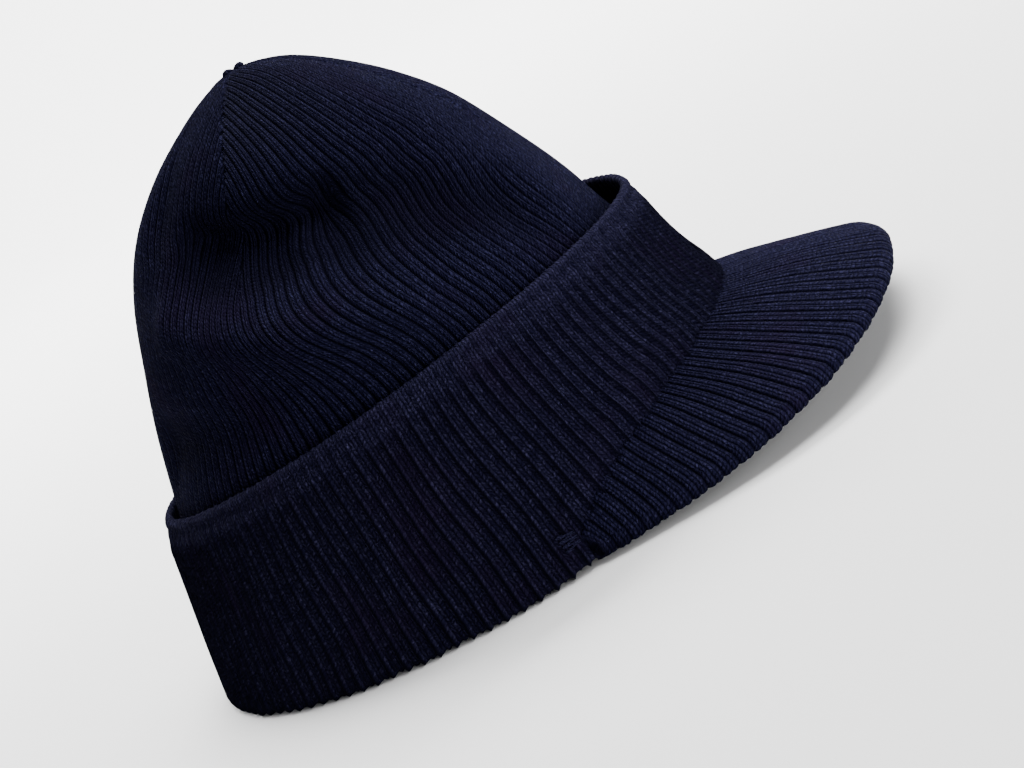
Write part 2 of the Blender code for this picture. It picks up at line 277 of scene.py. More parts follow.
@dataclass(frozen=True)
class CapForm:
    """Named sizes of the cap, as its solids have them, and the form that follows from them.

    Under the dent the ribs are drawn together, a little further back than on the solids. The
    draw's rise and fall are ranges up the crown, in shares of its height.
    """

    rim_half_length: float = 0.1074
    rim_half_width: float = 0.0903
    rim_power: float = 2.1
    crown_height: float = 0.1629
    cloth: float = 0.0032
    clearance: float = 0.0003
    side_clearance: float = 0.0007
    panels: int = 4
    ribs_per_panel: int = 30
    dart_start: float = 0.672
    cuff_height: float = 0.0661
    cuff_front_rise: float = 0.0069
    cuff_side_rise: float = 0.0027
    cuff_top_half_length: float = 0.0905
    cuff_top_half_width: float = 0.0812
    cuff_top_power: float = 1.85
    cuff_top_set_back: float = 0.0026
    cuff_front_hollow: float = 0.0030
    draw: float = math.radians(13.0)
    draw_middle: float = math.radians(80.0)
    draw_half_angle: float = math.radians(26.0)
    draw_rise: Pair = (0.42, 0.69)
    draw_fall: Pair = (0.71, 0.93)
    slope_step: float = 0.01

    def oval(
        self,
        angle: np.ndarray,
        half_length: np.ndarray | float,
        half_width: np.ndarray | float,
        power: float,
    ) -> tuple[np.ndarray, np.ndarray]:
        """Points of a rounded oval section.

        Args:
            angle: Angles round the head.
            half_length: Half the section's length, front to back.
            half_width: Half its width.
            power: How full its corners are; 2 gives an ellipse.

        Returns:
            The points' x and y.
        """
        cosine = np.cos(angle)
        sine = np.sin(angle)
        size = (np.abs(cosine) ** power + np.abs(sine) ** power) ** (-1.0 / power)
        return -sine * size * half_width, -cosine * size * half_length

    def cuff_top(self, angle: np.ndarray) -> np.ndarray:
        """Height of the cuff's top edge."""
        front = self.cuff_front_rise * np.cos(angle)
        return self.cuff_height + front + self.cuff_side_rise * np.sin(angle) ** 2

    def cuff_wall(self, height: np.ndarray, angle: np.ndarray) -> np.ndarray:
        """Points on the mean outer face of the cuff's wall.

        Args:
            height: Heights above the surface that the cap rests on.
            angle: Angles round the head.

        Returns:
            The points, as x, y and z.
        """
        share = height / self.cuff_top(angle)
        long, wide = self.rim_half_length, self.rim_half_width
        rim_x, rim_y = self.oval(angle, long, wide, self.rim_power)
        long, wide = self.cuff_top_half_length, self.cuff_top_half_width
        top_x, top_y = self.oval(angle, long, wide, self.cuff_top_power)
        top_y = top_y + self.cuff_top_set_back
        hollow = self.cuff_front_hollow * np.sin(math.pi * share**2) * np.cos(angle / 2.0) ** 4
        x = rim_x + (top_x - rim_x) * share
        y = rim_y + (top_y - rim_y) * share + hollow
        return join(x, y, height)

    def level_outward(self, height: np.ndarray, angle: np.ndarray) -> np.ndarray:
        """Level unit normals of the cuff's wall.

        Args:
            height: Heights above the surface that the cap rests on.
            angle: Angles round the head.

        Returns:
            The normals, as x, y and z.
        """
        ahead = self.cuff_wall(height, angle + self.slope_step)
        along = ahead - self.cuff_wall(height, angle - self.slope_step)
        normal = join(-along[..., 1], along[..., 0], 0.0)
        return normal / np.linalg.norm(normal, axis=-1, keepdims=True)

    def crown_table(self) -> np.ndarray:
        """Works out the crown's sections.

        Returns:
            Rows of height, front, back and side in metres, from the lower edge on the cuff's
            fold to the tip.
        """
        lower_edge = self.cloth + self.clearance
        inside = self.cloth + self.side_clearance
        quarters = np.radians((0.0, 90.0, 180.0))
        front, right, back = self.cuff_wall(np.full(len(quarters), lower_edge), quarters)
        seat = (lower_edge, -front[1] - inside, back[1] - inside, -right[0] - inside)
        rows = [
            (
                section.height * self.crown_height,
                section.front * self.cuff_top_half_length,
                section.back * self.cuff_top_half_length,
                section.side * self.cuff_top_half_width,
            )
            for section in CROWN_SECTIONS
        ]
        halfway = tuple((low + high) / 2.0 for low, high in zip(seat, rows[0]))
        return np.array([seat, halfway] + rows)

    def fold_depth(self, angle: np.ndarray, height: np.ndarray) -> np.ndarray:
        """How far the folds and creases press the crown inwards.

        Args:
            angle: Angles round the head.
            height: Heights of the crown before it is pressed.

        Returns:
            Depths in metres.
        """
        depth = np.zeros_like(angle)
        scale = np.array((self.rim_half_width / self.crown_height, 1.0))
        for fold in CROWN_FOLDS + CREASES:
            start = np.array((math.radians(fold.angle), fold.height))
            end = np.array((math.radians(fold.end_angle), fold.end_height))
            run = (end - start) * scale
            across = turned(angle, start[0]) * scale[0]
            up = height / self.crown_height - start[1]
            share = np.clip((across * run[0] + up * run[1]) / (run @ run), 0.0, 1.0)
            away = np.hypot(across - share * run[0], up - share * run[1])
            deep = fold.depth + (fold.end_depth - fold.depth) * share
            depth += deep * self.crown_height * bump(away, 0.0, fold.half_width)
        return depth

    def drawn(self, angle: np.ndarray, place: float) -> np.ndarray:
        """Draws the ribs towards the back, where the deep fold pulls them.

        Args:
            angle: Angles of the ribs before they are drawn.
            place: Their place in the crown's sections.

        Returns:
            The new angles.
        """
        height = smooth_read(self.crown_table(), np.array(place))[0] / self.crown_height
        rise = smooth_step(*self.draw_rise, height) - smooth_step(*self.draw_fall, height)
        pull = bump(turned(angle, self.draw_middle), 0.0, self.draw_half_angle)
        return angle + self.draw * rise * pull

    def crown(self, place: np.ndarray, angle: np.ndarray) -> np.ndarray:
        """Points of the crown's mean outer face.

        Args:
            place: Places in the crown's sections, 0 at its lower edge.
            angle: Angles round the head.

        Returns:
            The points, as x, y and z.
        """
        columns = np.moveaxis(smooth_read(self.crown_table(), place), -1, 0)
        height, front, back, side = columns
        half_length = (front + back) / 2.0
        x, y = self.oval(angle, half_length, side, self.rim_power)
        width = np.hypot(x, y)
        pressed = np.maximum(width - self.fold_depth(angle, height), 0.0)
        drawn_in = pressed / np.maximum(width, TINY)
        return np.stack((x * drawn_in, y * drawn_in - (front - back) / 2.0, height), axis=-1)

    def crown_outward(self, place: np.ndarray, angle: np.ndarray) -> np.ndarray:
        """Unit normals of the crown, level at its lower edge and upright at its tip.

        Args:
            place: Places in the crown's sections.
            angle: Angles round the head.

        Returns:
            The normals, as x, y and z.
        """
        step = self.slope_step
        along = self.crown(place, angle + step) - self.crown(place, angle - step)
        up = self.crown(place + step, angle) - self.crown(place - step, angle)
        normal = np.cross(up, along)
        normal[place == 0.0, 2] = 0.0
        normal[place == TIP] = (0.0, 0.0, 1.0)
        return normal / np.linalg.norm(normal, axis=-1, keepdims=True)


@dataclass
class Sketch:
    """Short ways to place and join nodes in one node tree.

    Attributes:
        tree: The node tree.
        mix_inputs: Numbers of a colour Mix node's factor and two colours.
        mix_output: Number of its colour output.
    """

    tree: bpy.types.NodeTree
    mix_inputs: tuple[int, int, int] = (0, 6, 7)
    mix_output: int = 2

    def node(self, kind: str, **values: object) -> bpy.types.Node:
        """Places a node and sets its options.

        Args:
            kind: Blender's name of the node.
            **values: Its options.

        Returns:
            The node.
        """
        made = self.tree.nodes.new(kind)
        for name, value in values.items():
            setattr(made, name, value)
        return made

    def feed(self, socket: bpy.types.NodeSocket, value: object) -> None:
        """Joins an output to a socket, or writes a plain value on it.

        Args:
            socket: The input socket.
            value: An output socket, or a number, vector or colour.
        """
        if isinstance(value, bpy.types.NodeSocket):
            self.tree.links.new(value, socket)
        else:
            socket.default_value = value

    def math(self, operation: str, *values: object) -> bpy.types.NodeSocket:
        """Places a Math node.

        Args:
            operation: Blender's name of the operation.
            *values: What it works on.

        Returns:
            Its output.
        """
        made = self.node("ShaderNodeMath", operation=operation)
        for socket, value in zip(made.inputs, values):
            self.feed(socket, value)
        return made.outputs[0]

    def ease(self, value: object, low: float, high: float) -> bpy.types.NodeSocket:
        """Places a Map Range node.

        Args:
            value: What it reads.
            low: Where the output starts to rise from 0.
            high: Where it comes to 1.

        Returns:
            Its output.
        """
        made = self.node("ShaderNodeMapRange", interpolation_type="SMOOTHSTEP")
        self.feed(made.inputs["Value"], value)
        self.feed(made.inputs["From Min"], low)
        self.feed(made.inputs["From Max"], high)
        return made.outputs["Result"]

    def mix(self, share: object, first: object, second: object) -> bpy.types.NodeSocket:
        """Places a colour Mix node.

        Args:
            share: Share of the second colour.
            first: The first colour.
            second: The second colour.

        Returns:
            Its output.
        """
        made = self.node("ShaderNodeMix", data_type="RGBA")
        for number, value in zip(self.mix_inputs, (share, first, second)):
            self.feed(made.inputs[number], value)
        return made.outputs[self.mix_output]

    def noise(self, vector: object, scale: float, detail: float) -> bpy.types.NodeSocket:
        """Places a Noise Texture node.

        Args:
            vector: Where it is read.
            scale: How fine it is.
            detail: How many finer layers it has.

        Returns:
            Its value.
        """
        made = self.node("ShaderNodeTexNoise")
        self.feed(made.inputs["Vector"], vector)
        self.feed(made.inputs["Scale"], scale)
        self.feed(made.inputs["Detail"], detail)
        return made.outputs["Fac"]

    def mask(self, mask: Mask) -> bpy.types.NodeSocket:
        """Places an Attribute node that reads a mask, which is 0 where a piece has none."""
        return self.node("ShaderNodeAttribute", attribute_name=mask.value).outputs["Fac"]


@dataclass(frozen=True)
class KnitLoops:
    """The pattern of knitted loops that all the knitted finishes share.

    Attributes:
        sway_scale: How fast the loops' sway changes from stitch to stitch.
        sway_detail: Finer layers of the sway.
        wale_sway: How far it moves a wale, in wales.
        row_sway: How far it moves a row, in rows.
        slant: How far a loop's legs slant, in rows.
        swell: Share of the height that comes and goes along a leg.
        channel: Range of the channel's mask, in ribs from the middle of the rib.
        groove: How far the groove's mask reaches from the middle of the rib.
        groove_share: How strong that mask is.
    """

    sway_scale: float = 0.45
    sway_detail: float = 2.0
    wale_sway: float = 0.34
    row_sway: float = 1.9
    slant: float = 0.62
    swell: float = 0.6
    channel: Pair = (0.31, 0.46)
    groove: float = 0.13
    groove_share: float = 0.55

    def group(self) -> bpy.types.NodeTree:
        """Makes the node group, once, for all the knitted finishes.

        Returns:
            The group. It takes the stitch map, two wales to a rib, and puts out the height of
            the loops, a random tone for each loop, and a mask of the channels between ribs and
            wales.
        """
        tree = bpy.data.node_groups.new("knit_loops", "ShaderNodeTree")
        tree.interface.new_socket("Stitches", in_out="INPUT", socket_type="NodeSocketVector")
        for name in ("Height", "Tone", "Channel"):
            tree.interface.new_socket(name, in_out="OUTPUT", socket_type="NodeSocketFloat")
        sketch = Sketch(tree)
        stitches = sketch.node("NodeGroupInput").outputs["Stitches"]
        leave = sketch.node("NodeGroupOutput")
        split = sketch.node("ShaderNodeSeparateXYZ")
        sketch.feed(split.inputs[0], stitches)
        swaying = sketch.noise(stitches, self.sway_scale, self.sway_detail)
        sway = sketch.math("SUBTRACT", swaying, 0.5)
        wale = sketch.math("MULTIPLY_ADD", sway, self.wale_sway, split.outputs["X"])
        row = sketch.math("MULTIPLY_ADD", sway, self.row_sway, split.outputs["Y"])
        across = sketch.math("SUBTRACT", sketch.math("FRACT", wale), 0.5)
        aside = sketch.math("MULTIPLY", sketch.math("ABSOLUTE", across), 2.0)
        slanted = sketch.math("MULTIPLY_ADD", aside, self.slant, row)
        half_turn = sketch.math("MULTIPLY", sketch.math("FRACT", slanted), math.pi)
        loop = sketch.math("SINE", half_turn)
        leg = sketch.math("SINE", sketch.math("MULTIPLY", aside, math.pi))
        leg = sketch.math("POWER", sketch.math("MAXIMUM", leg, 0.0), 0.5)
        swelling = sketch.math("MULTIPLY_ADD", loop, self.swell, 1.0 - self.swell)
        sketch.feed(leave.inputs["Height"], sketch.math("MULTIPLY", leg, swelling))
        cell = sketch.node("ShaderNodeCombineXYZ")
        halves = sketch.math("FLOOR", sketch.math("MULTIPLY", wale, 2.0))
        sketch.feed(cell.inputs["X"], halves)
        sketch.feed(cell.inputs["Y"], sketch.math("FLOOR", slanted))
        white = sketch.node("ShaderNodeTexWhiteNoise", noise_dimensions="2D")
        sketch.feed(white.inputs["Vector"], cell.outputs[0])
        sketch.feed(leave.inputs["Tone"], white.outputs["Value"])
        # Mask of the channels between ribs and the groove between wales, where painted shade goes.
        rib = sketch.math("MULTIPLY", split.outputs["X"], 0.5)
        off_rib = sketch.math("SUBTRACT", sketch.math("FRACT", rib), 0.5)
        off_groove = sketch.math("ABSOLUTE", off_rib)
        channel = sketch.ease(off_groove, *self.channel)
        past_groove = sketch.ease(off_groove, 0.0, self.groove)
        fading = sketch.math("MULTIPLY", past_groove, self.groove_share)
        groove = sketch.math("SUBTRACT", self.groove_share, fading)
        sketch.feed(leave.inputs["Channel"], sketch.math("MAXIMUM", channel, groove))
        return tree


@dataclass(frozen=True)
class KnitFinish:
    """Dark yarn knitted in ribs.

    Attributes:
        slot: Material slot of the record, also the material's name.
        deep: Colour of the painted shade between loops, in channels, folds and the visor's edge.
        yarn: Colour of the yarn.
        bloom_and_highlight: Colour of the loops' fuzz and of the painted highlights.
        seed: Offset of the colour drift, so that pieces differ.
        loop_depth: Depth of the loops' relief, in metres.
        fibre_scale: How fine the yarn's fibres are.
        fibre_detail: Finer layers of the fibres.
        fibre_relief: Height of the fibres, as a share of the loops'.
        drift_scale: How fast the yarn's colour drifts.
        drift_detail: Finer layers of the drift.
        raised: Range of a loop's height over which it is yarn, not shade.
        fuzzy: Range of the fibres over which a loop's top takes its fuzz and painted highlight.
        tone: Least and most fuzz and painted highlight of a loop, at random.
        plum_tint: What the yarn's colour is multiplied by where it drifts towards plum.
        plum_drift: Range of the drift over which it does.
        plum_share: How far it does.
        painted_channel_shade: How far painted shade darkens the channels between ribs and wales.
        painted_shade_share: How far painted shade darkens the folds and the visor's turned edge.
        fuzz_and_highlight_range: Range of the fibres where the painted edge highlight and fuzz
            show.
        roughness: Least roughness, and how much the fibres add.
        sheen: Weight and roughness of the sheen.
        sheen_tint: Colour of the sheen.
        specular: Level of the plain reflection.
    """

    slot: str
    deep: Colour
    yarn: Colour
    bloom_and_highlight: Colour
    seed: float
    loop_depth: float = 0.0007
    fibre_scale: float = 1500.0
    fibre_detail: float = 4.0
    fibre_relief: float = 0.45
    drift_scale: float = 38.0
    drift_detail: float = 3.0
    raised: Pair = (0.1, 0.75)
    fuzzy: Pair = (0.35, 0.75)
    tone: Pair = (0.05, 0.95)
    plum_tint: tuple[float, float, float] = (1.9, 0.95, 1.05)
    plum_drift: Pair = (0.5, 0.72)
    plum_share: float = 0.45
    painted_channel_shade: float = 0.95
    painted_shade_share: float = 0.6
    fuzz_and_highlight_range: Pair = (0.2, 0.7)
    roughness: Pair = (0.75, 0.2)
    sheen: Pair = (0.03, 0.45)
    sheen_tint: Colour = (0.20, 0.20, 0.46, 1.0)
    specular: float = 0.015

    def colour(
        self,
        sketch: Sketch,
        group: bpy.types.Node,
        place: bpy.types.NodeSocket,
        fibres: bpy.types.NodeSocket,
    ) -> bpy.types.NodeSocket:
        """Mixes the yarn's colour.

        Args:
            sketch: The material's nodes.
            group: The node of the knitted loops.
            place: The Object coordinates.
            fibres: The fibres' noise.

        Returns:
            The colour.
        """
        shifted = sketch.node("ShaderNodeMapping")
        sketch.feed(shifted.inputs["Vector"], place)
        sketch.feed(shifted.inputs["Location"], (self.seed, 0.0, 0.0))
        drift = sketch.noise(shifted.outputs[0], self.drift_scale, self.drift_detail)
        height = group.outputs["Height"]
        least, most = self.tone
        tone = sketch.math("MULTIPLY_ADD", group.outputs["Tone"], most - least, least)
        # Painted shade between the loops; on their tops partly fuzz, partly painted highlight.
        lit = sketch.math("MULTIPLY", height, sketch.ease(fibres, *self.fuzzy))
        colour = sketch.mix(sketch.ease(height, *self.raised), self.deep, self.yarn)
        colour = sketch.mix(sketch.math("MULTIPLY", lit, tone), colour, self.bloom_and_highlight)
        plum = tuple(part * tint for part, tint in zip(self.yarn, self.plum_tint)) + (1.0,)
        drifted = sketch.ease(drift, *self.plum_drift)
        colour = sketch.mix(sketch.math("MULTIPLY", drifted, self.plum_share), colour, plum)
        # Painted shade in the rib channels, in the folds and on the visor's turned edge.
        channel = sketch.math("MULTIPLY", group.outputs["Channel"], sketch.mask(Mask.RIB_DEPTH))
        for mask, share in (
            (channel, self.painted_channel_shade),
            (sketch.mask(Mask.PAINTED_SHADE), self.painted_shade_share),
        ):
            colour = sketch.mix(sketch.math("MULTIPLY", mask, share), colour, self.deep)
        # Painted highlight along the cuff's edge, and the fuzz of the end threads.
        fuzz_and_highlight_fibres = sketch.ease(fibres, *self.fuzz_and_highlight_range)
        fuzz = sketch.math("MULTIPLY", sketch.mask(Mask.FUZZ_AND_EDGE_HIGHLIGHT), fuzz_and_highlight_fibres)
        return sketch.mix(fuzz, colour, self.bloom_and_highlight)

    def material(self, loops: bpy.types.NodeTree) -> bpy.types.Material:
        """Makes the material.

        Args:
            loops: The node group of knitted loops.

        Returns:
            The material, which reads the stitch map and the masks of its piece.
        """
        made = bpy.data.materials.new(self.slot)
        made.use_nodes = True
        made.diffuse_color = self.yarn
        sketch = Sketch(made.node_tree)
        inputs = made.node_tree.nodes["Principled BSDF"].inputs
        place = sketch.node("ShaderNodeTexCoord").outputs["Object"]
        group = sketch.node("ShaderNodeGroup", node_tree=loops)
        stitches = sketch.node("ShaderNodeUVMap", uv_map="stitches").outputs[0]
        sketch.feed(group.inputs["Stitches"], stitches)
        fibres = sketch.noise(place, self.fibre_scale, self.fibre_detail)
        smoothest, rougher = self.roughness
        rough = sketch.math("MULTIPLY_ADD", fibres, rougher, smoothest)
        surface = sketch.math("MULTIPLY_ADD", fibres, self.fibre_relief, group.outputs["Height"])
        relief = sketch.node("ShaderNodeBump")
        sketch.feed(relief.inputs["Strength"], 1.0)
        sketch.feed(relief.inputs["Distance"], self.loop_depth)
        sketch.feed(relief.inputs["Height"], surface)
        sketch.feed(inputs["Base Color"], self.colour(sketch, group, place, fibres))
        sketch.feed(inputs["Roughness"], rough)
        sketch.feed(inputs["Normal"], relief.outputs[0])
        inputs["Sheen Weight"].default_value = self.sheen[0]
        inputs["Sheen Roughness"].default_value = self.sheen[1]
        inputs["Sheen Tint"].default_value = self.sheen_tint
        inputs["Specular IOR Level"].default_value = self.specular
        return made


def lay_cloth(
    name: str,
    points: np.ndarray,
    stitches: np.ndarray,
    masks: dict[Mask, np.ndarray],
) -> bpy.types.Object:
    """Lays a fine mesh over rows of points and welds it where they meet.

    Args:
        name: Name of the new object.
        points: Rows by columns by 3, in metres.
        stitches: Rows by columns by 2, the stitch map.
        masks: Masks from 0 to 1, rows by columns, that the finish reads.

    Returns:
        The new object, closed and shaded smooth.
    """
    rows, columns = points.shape[:2]
    cloth = bmesh.new()
    bmesh.ops.create_grid(cloth, x_segments=columns - 1, y_segments=rows - 1, size=1.0)
    mesh = bpy.data.meshes.new(name)
    cloth.to_mesh(mesh)
    mesh.vertices.foreach_set("co", points.ravel())
    corners = np.empty(len(mesh.loops), dtype=np.int32)
    mesh.loops.foreach_get("vertex_index", corners)
    map_layer = mesh.uv_layers.new(name="stitches")
    map_layer.data.foreach_set("uv", stitches.reshape(-1, 2)[corners].ravel())
    for mask, values in masks.items():
        layer = mesh.attributes.new(mask.value, "FLOAT", "POINT")
        layer.data.foreach_set("value", values.ravel())
    cloth.clear()
    cloth.from_mesh(mesh)
    bmesh.ops.remove_doubles(cloth, verts=cloth.verts, dist=WELD_DISTANCE)
    ends = [edge for edge in cloth.edges if edge.is_boundary]
    bmesh.ops.holes_fill(cloth, edges=ends, sides=0)
    bmesh.ops.recalc_face_normals(cloth, faces=cloth.faces)
    for face in cloth.faces:
        face.smooth = True
    cloth.to_mesh(mesh)
    cloth.free()
    piece = bpy.data.objects.new(name, mesh)
    bpy.context.collection.objects.link(piece)
    return piece


@dataclass
class Crown:
    """The pointed crown, knitted in four panels that are joined by darts.

    Attributes:
        form: The cap's sizes and form.
        set_forward: How far the form is moved along Y to the frame.
        shown_from: Height from which the crown shows above the cuff.
        sway: How far the ribs sway sideways, in metres.
        sway_fade: How fast the sway starts from a panel's sides.
        section_height: Rough height of a section, for the sway.
        narrowing: How far the ribs narrow with the crown, from 0 to 1.
        grain: Where in a panel its ribs run straight up, as a share of its width.
        unevenness: Unevenness of the relief, as a share of the ribs'.
        inner_depth: Depth of the ribs inside, as a share of that outside.
        painted_shade_depths: Range of fold depths over which painted shade darkens the cloth.
    """

    form: CapForm
    set_forward: float
    columns_per_rib: int = 8
    shown_rows: int = 84
    hidden_rows: int = 5
    inner_rows: int = 40
    inner_columns_per_rib: int = 2
    arc_samples: int = 96
    dart_samples: int = 400
    row_samples: int = 800
    shown_from: float = 0.050
    rib_relief: float = 0.0008
    sway: float = 0.0004
    sway_fade: float = 8.0
    section_height: float = 0.012
    narrowing: float = 0.25
    grain: float = 0.42
    unevenness: float = 0.35
    inner_depth: float = 0.6
    painted_shade_depths: Pair = (0.0012, 0.0075)
    rib_sway: Slack = Slack(9, 5)
    uneven: Slack = Slack(14, 11)

    def columns(self) -> np.ndarray:
        """Numbers of the columns round the crown."""
        form = self.form
        return np.arange(form.panels * form.ribs_per_panel * self.columns_per_rib + 1)

    def panel_arcs(self, place: float) -> list[tuple[np.ndarray, np.ndarray]]:
        """Measures one section along its panels.

        Args:
            place: The section's place.

        Returns:
            For each panel, angles and the lengths up to them.
        """
        arcs = []
        for panel in range(self.form.panels):
            share = (panel + np.linspace(0.0, 1.0, self.arc_samples)) / self.form.panels
            angle = share * TURN
            points = self.form.crown(np.full(self.arc_samples, place), angle)
            lengths = np.linalg.norm(np.diff(points, axis=0), axis=1)
            arcs.append((angle, np.concatenate(((0.0,), np.cumsum(lengths)))))
        return arcs

    def dart_place(self) -> float:
        """Looks up where the darts start.

        Returns:
            Their place in the sections.
        """
        places = np.linspace(0.0, TIP, self.dart_samples)
        heights = smooth_read(self.form.crown_table(), places)[:, 0]
        return float(np.interp(self.form.dart_start * self.form.crown_height, heights, places))

    def angles(self, place: float) -> tuple[np.ndarray, np.ndarray]:
        """Lays out the ribs of one section, of one width and ending at the darts.

        Args:
            place: The section's place.

        Returns:
            The angle of each column, and whether the column is on a dart there.
        """
        columns = self.columns()
        start_arcs = self.panel_arcs(self.dart_place())
        angles = np.zeros(len(columns))
        on_dart = np.zeros(len(columns), dtype=bool)
        per_panel = columns[-1] / self.form.panels
        for panel, (angle, length) in enumerate(self.panel_arcs(place)):
            first = panel * per_panel
            mine = (columns >= first) & (columns <= first + per_panel)
            grain_rib = self.grain * self.form.ribs_per_panel
            ribs_off = (columns[mine] - first) / self.columns_per_rib - grain_rib
            total = length[-1]
            start_total = start_arcs[panel][1][-1]
            narrowed = min(1.0, total / start_total) ** self.narrowing
            pitch = max(start_total * narrowed, total) / self.form.ribs_per_panel
            along = np.clip(total * self.grain + ribs_off * pitch, 0.0, total)
            near = pitch / (2.0 * self.columns_per_rib)
            along = np.where(along < near, 0.0, along)
            along = np.where(total - along < near, total, along)
            if total > 0.0:
                share = along / total
                up = np.array(place * self.section_height)
                drift = self.rib_sway.at(np.interp(along, length, angle), up)
                fade = np.clip(self.sway_fade * share * (1.0 - share), 0.0, 1.0)
                along = along + self.sway * drift * fade
            angles[mine] = self.form.drawn(np.interp(along, length, angle), place)
            on_dart[mine] = (along <= 0.0) | (along >= total)
        return angles, on_dart

    def places(self) -> np.ndarray:
        """Spaces the outer rows evenly where they show.

        Returns:
            Their places in the sections, from the tip down.
        """
        places = np.linspace(0.0, TIP, self.row_samples)
        points = self.form.crown(places, np.full(len(places), math.pi / 2.0))
        lengths = run_lengths(points[:, None])[:, 0]
        start = np.interp(self.shown_from, points[:, 2], lengths)
        shown = np.linspace(lengths[-1], start, self.shown_rows)
        hidden = np.linspace(start, 0.0, self.hidden_rows + 1)[1:]
        return np.interp(np.concatenate((shown, hidden)), lengths, places)

    def outer(self) -> tuple[np.ndarray, np.ndarray, np.ndarray]:
        """Lays out the outer face, rows from the tip down.

        Returns:
            Its points, its rib depths and its mask of painted shade in the folds.
        """
        columns = self.columns()
        ribs = columns / self.columns_per_rib
        rows = []
        depths = []
        painted_shade = []
        for place in self.places():
            angle, on_dart = self.angles(place)
            places = np.full(len(columns), place)
            points = self.form.crown(places, angle)
            depth = 0.0 if place in (0.0, TIP) else 1.0
            wave = np.where(on_dart, -1.0, rib_profile(ribs))
            uneven = self.uneven.at(angle, points[:, 2])
            relief = self.rib_relief * depth * (wave + self.unevenness * uneven * (~on_dart))
            rows.append(points + self.form.crown_outward(places, angle) * relief[:, None])
            depths.append(np.full(len(columns), depth))
            # Painted shade, darker where the folds press the crown in deeper.
            pressed = self.form.fold_depth(angle, points[:, 2])
            painted_shade.append(smooth_step(*self.painted_shade_depths, pressed))
        return np.array(rows), np.array(depths), np.array(painted_shade)

    def inner(self) -> np.ndarray:
        """Lays out the inner face, rows from the lower edge up.

        Returns:
            Its points.
        """
        columns = self.columns()
        step = self.columns_per_rib // self.inner_columns_per_rib
        used = np.round(columns / step).astype(int) * step
        wave = np.where((used // step) % 2 == 1, 1.0, -1.0)
        rows = []
        for place in np.linspace(0.0, TIP, self.inner_rows):
            angle, on_dart = self.angles(place)
            angle = angle[used]
            places = np.full(len(columns), place)
            points = self.form.crown(places, angle)
            depth = 0.0 if place in (0.0, TIP) else self.inner_depth
            relief = self.rib_relief * depth * np.where(on_dart[used], 1.0, wave)
            inwards = self.form.cloth - relief
            rows.append(points - self.form.crown_outward(places, angle) * inwards[:, None])
        return np.array(rows)

    def build(self) -> bpy.types.Object:
        """Makes the crown's cloth.

        Returns:
            The cloth, one closed shell.
        """
        outer, outer_depth, outer_painted_shade = self.outer()
        inner = self.inner()
        points = np.concatenate((outer, inner))
        rows = -run_lengths(outer) / STITCH_LENGTH
        inner_rows = rows[-1:] - run_lengths(inner) / STITCH_LENGTH
        wales = 2.0 * self.columns() / self.columns_per_rib
        stitches = join(wales, np.concatenate((rows, inner_rows)))
        points[..., 1] += self.set_forward
        masks = {
            Mask.RIB_DEPTH: np.concatenate((outer_depth, np.ones(inner.shape[:2]))),
            # Painted shade in the outer face's folds, none inside.
            Mask.PAINTED_SHADE: np.concatenate((outer_painted_shade, np.zeros(inner.shape[:2]))),
        }
        return lay_cloth("crown_knit", points, stitches, masks)


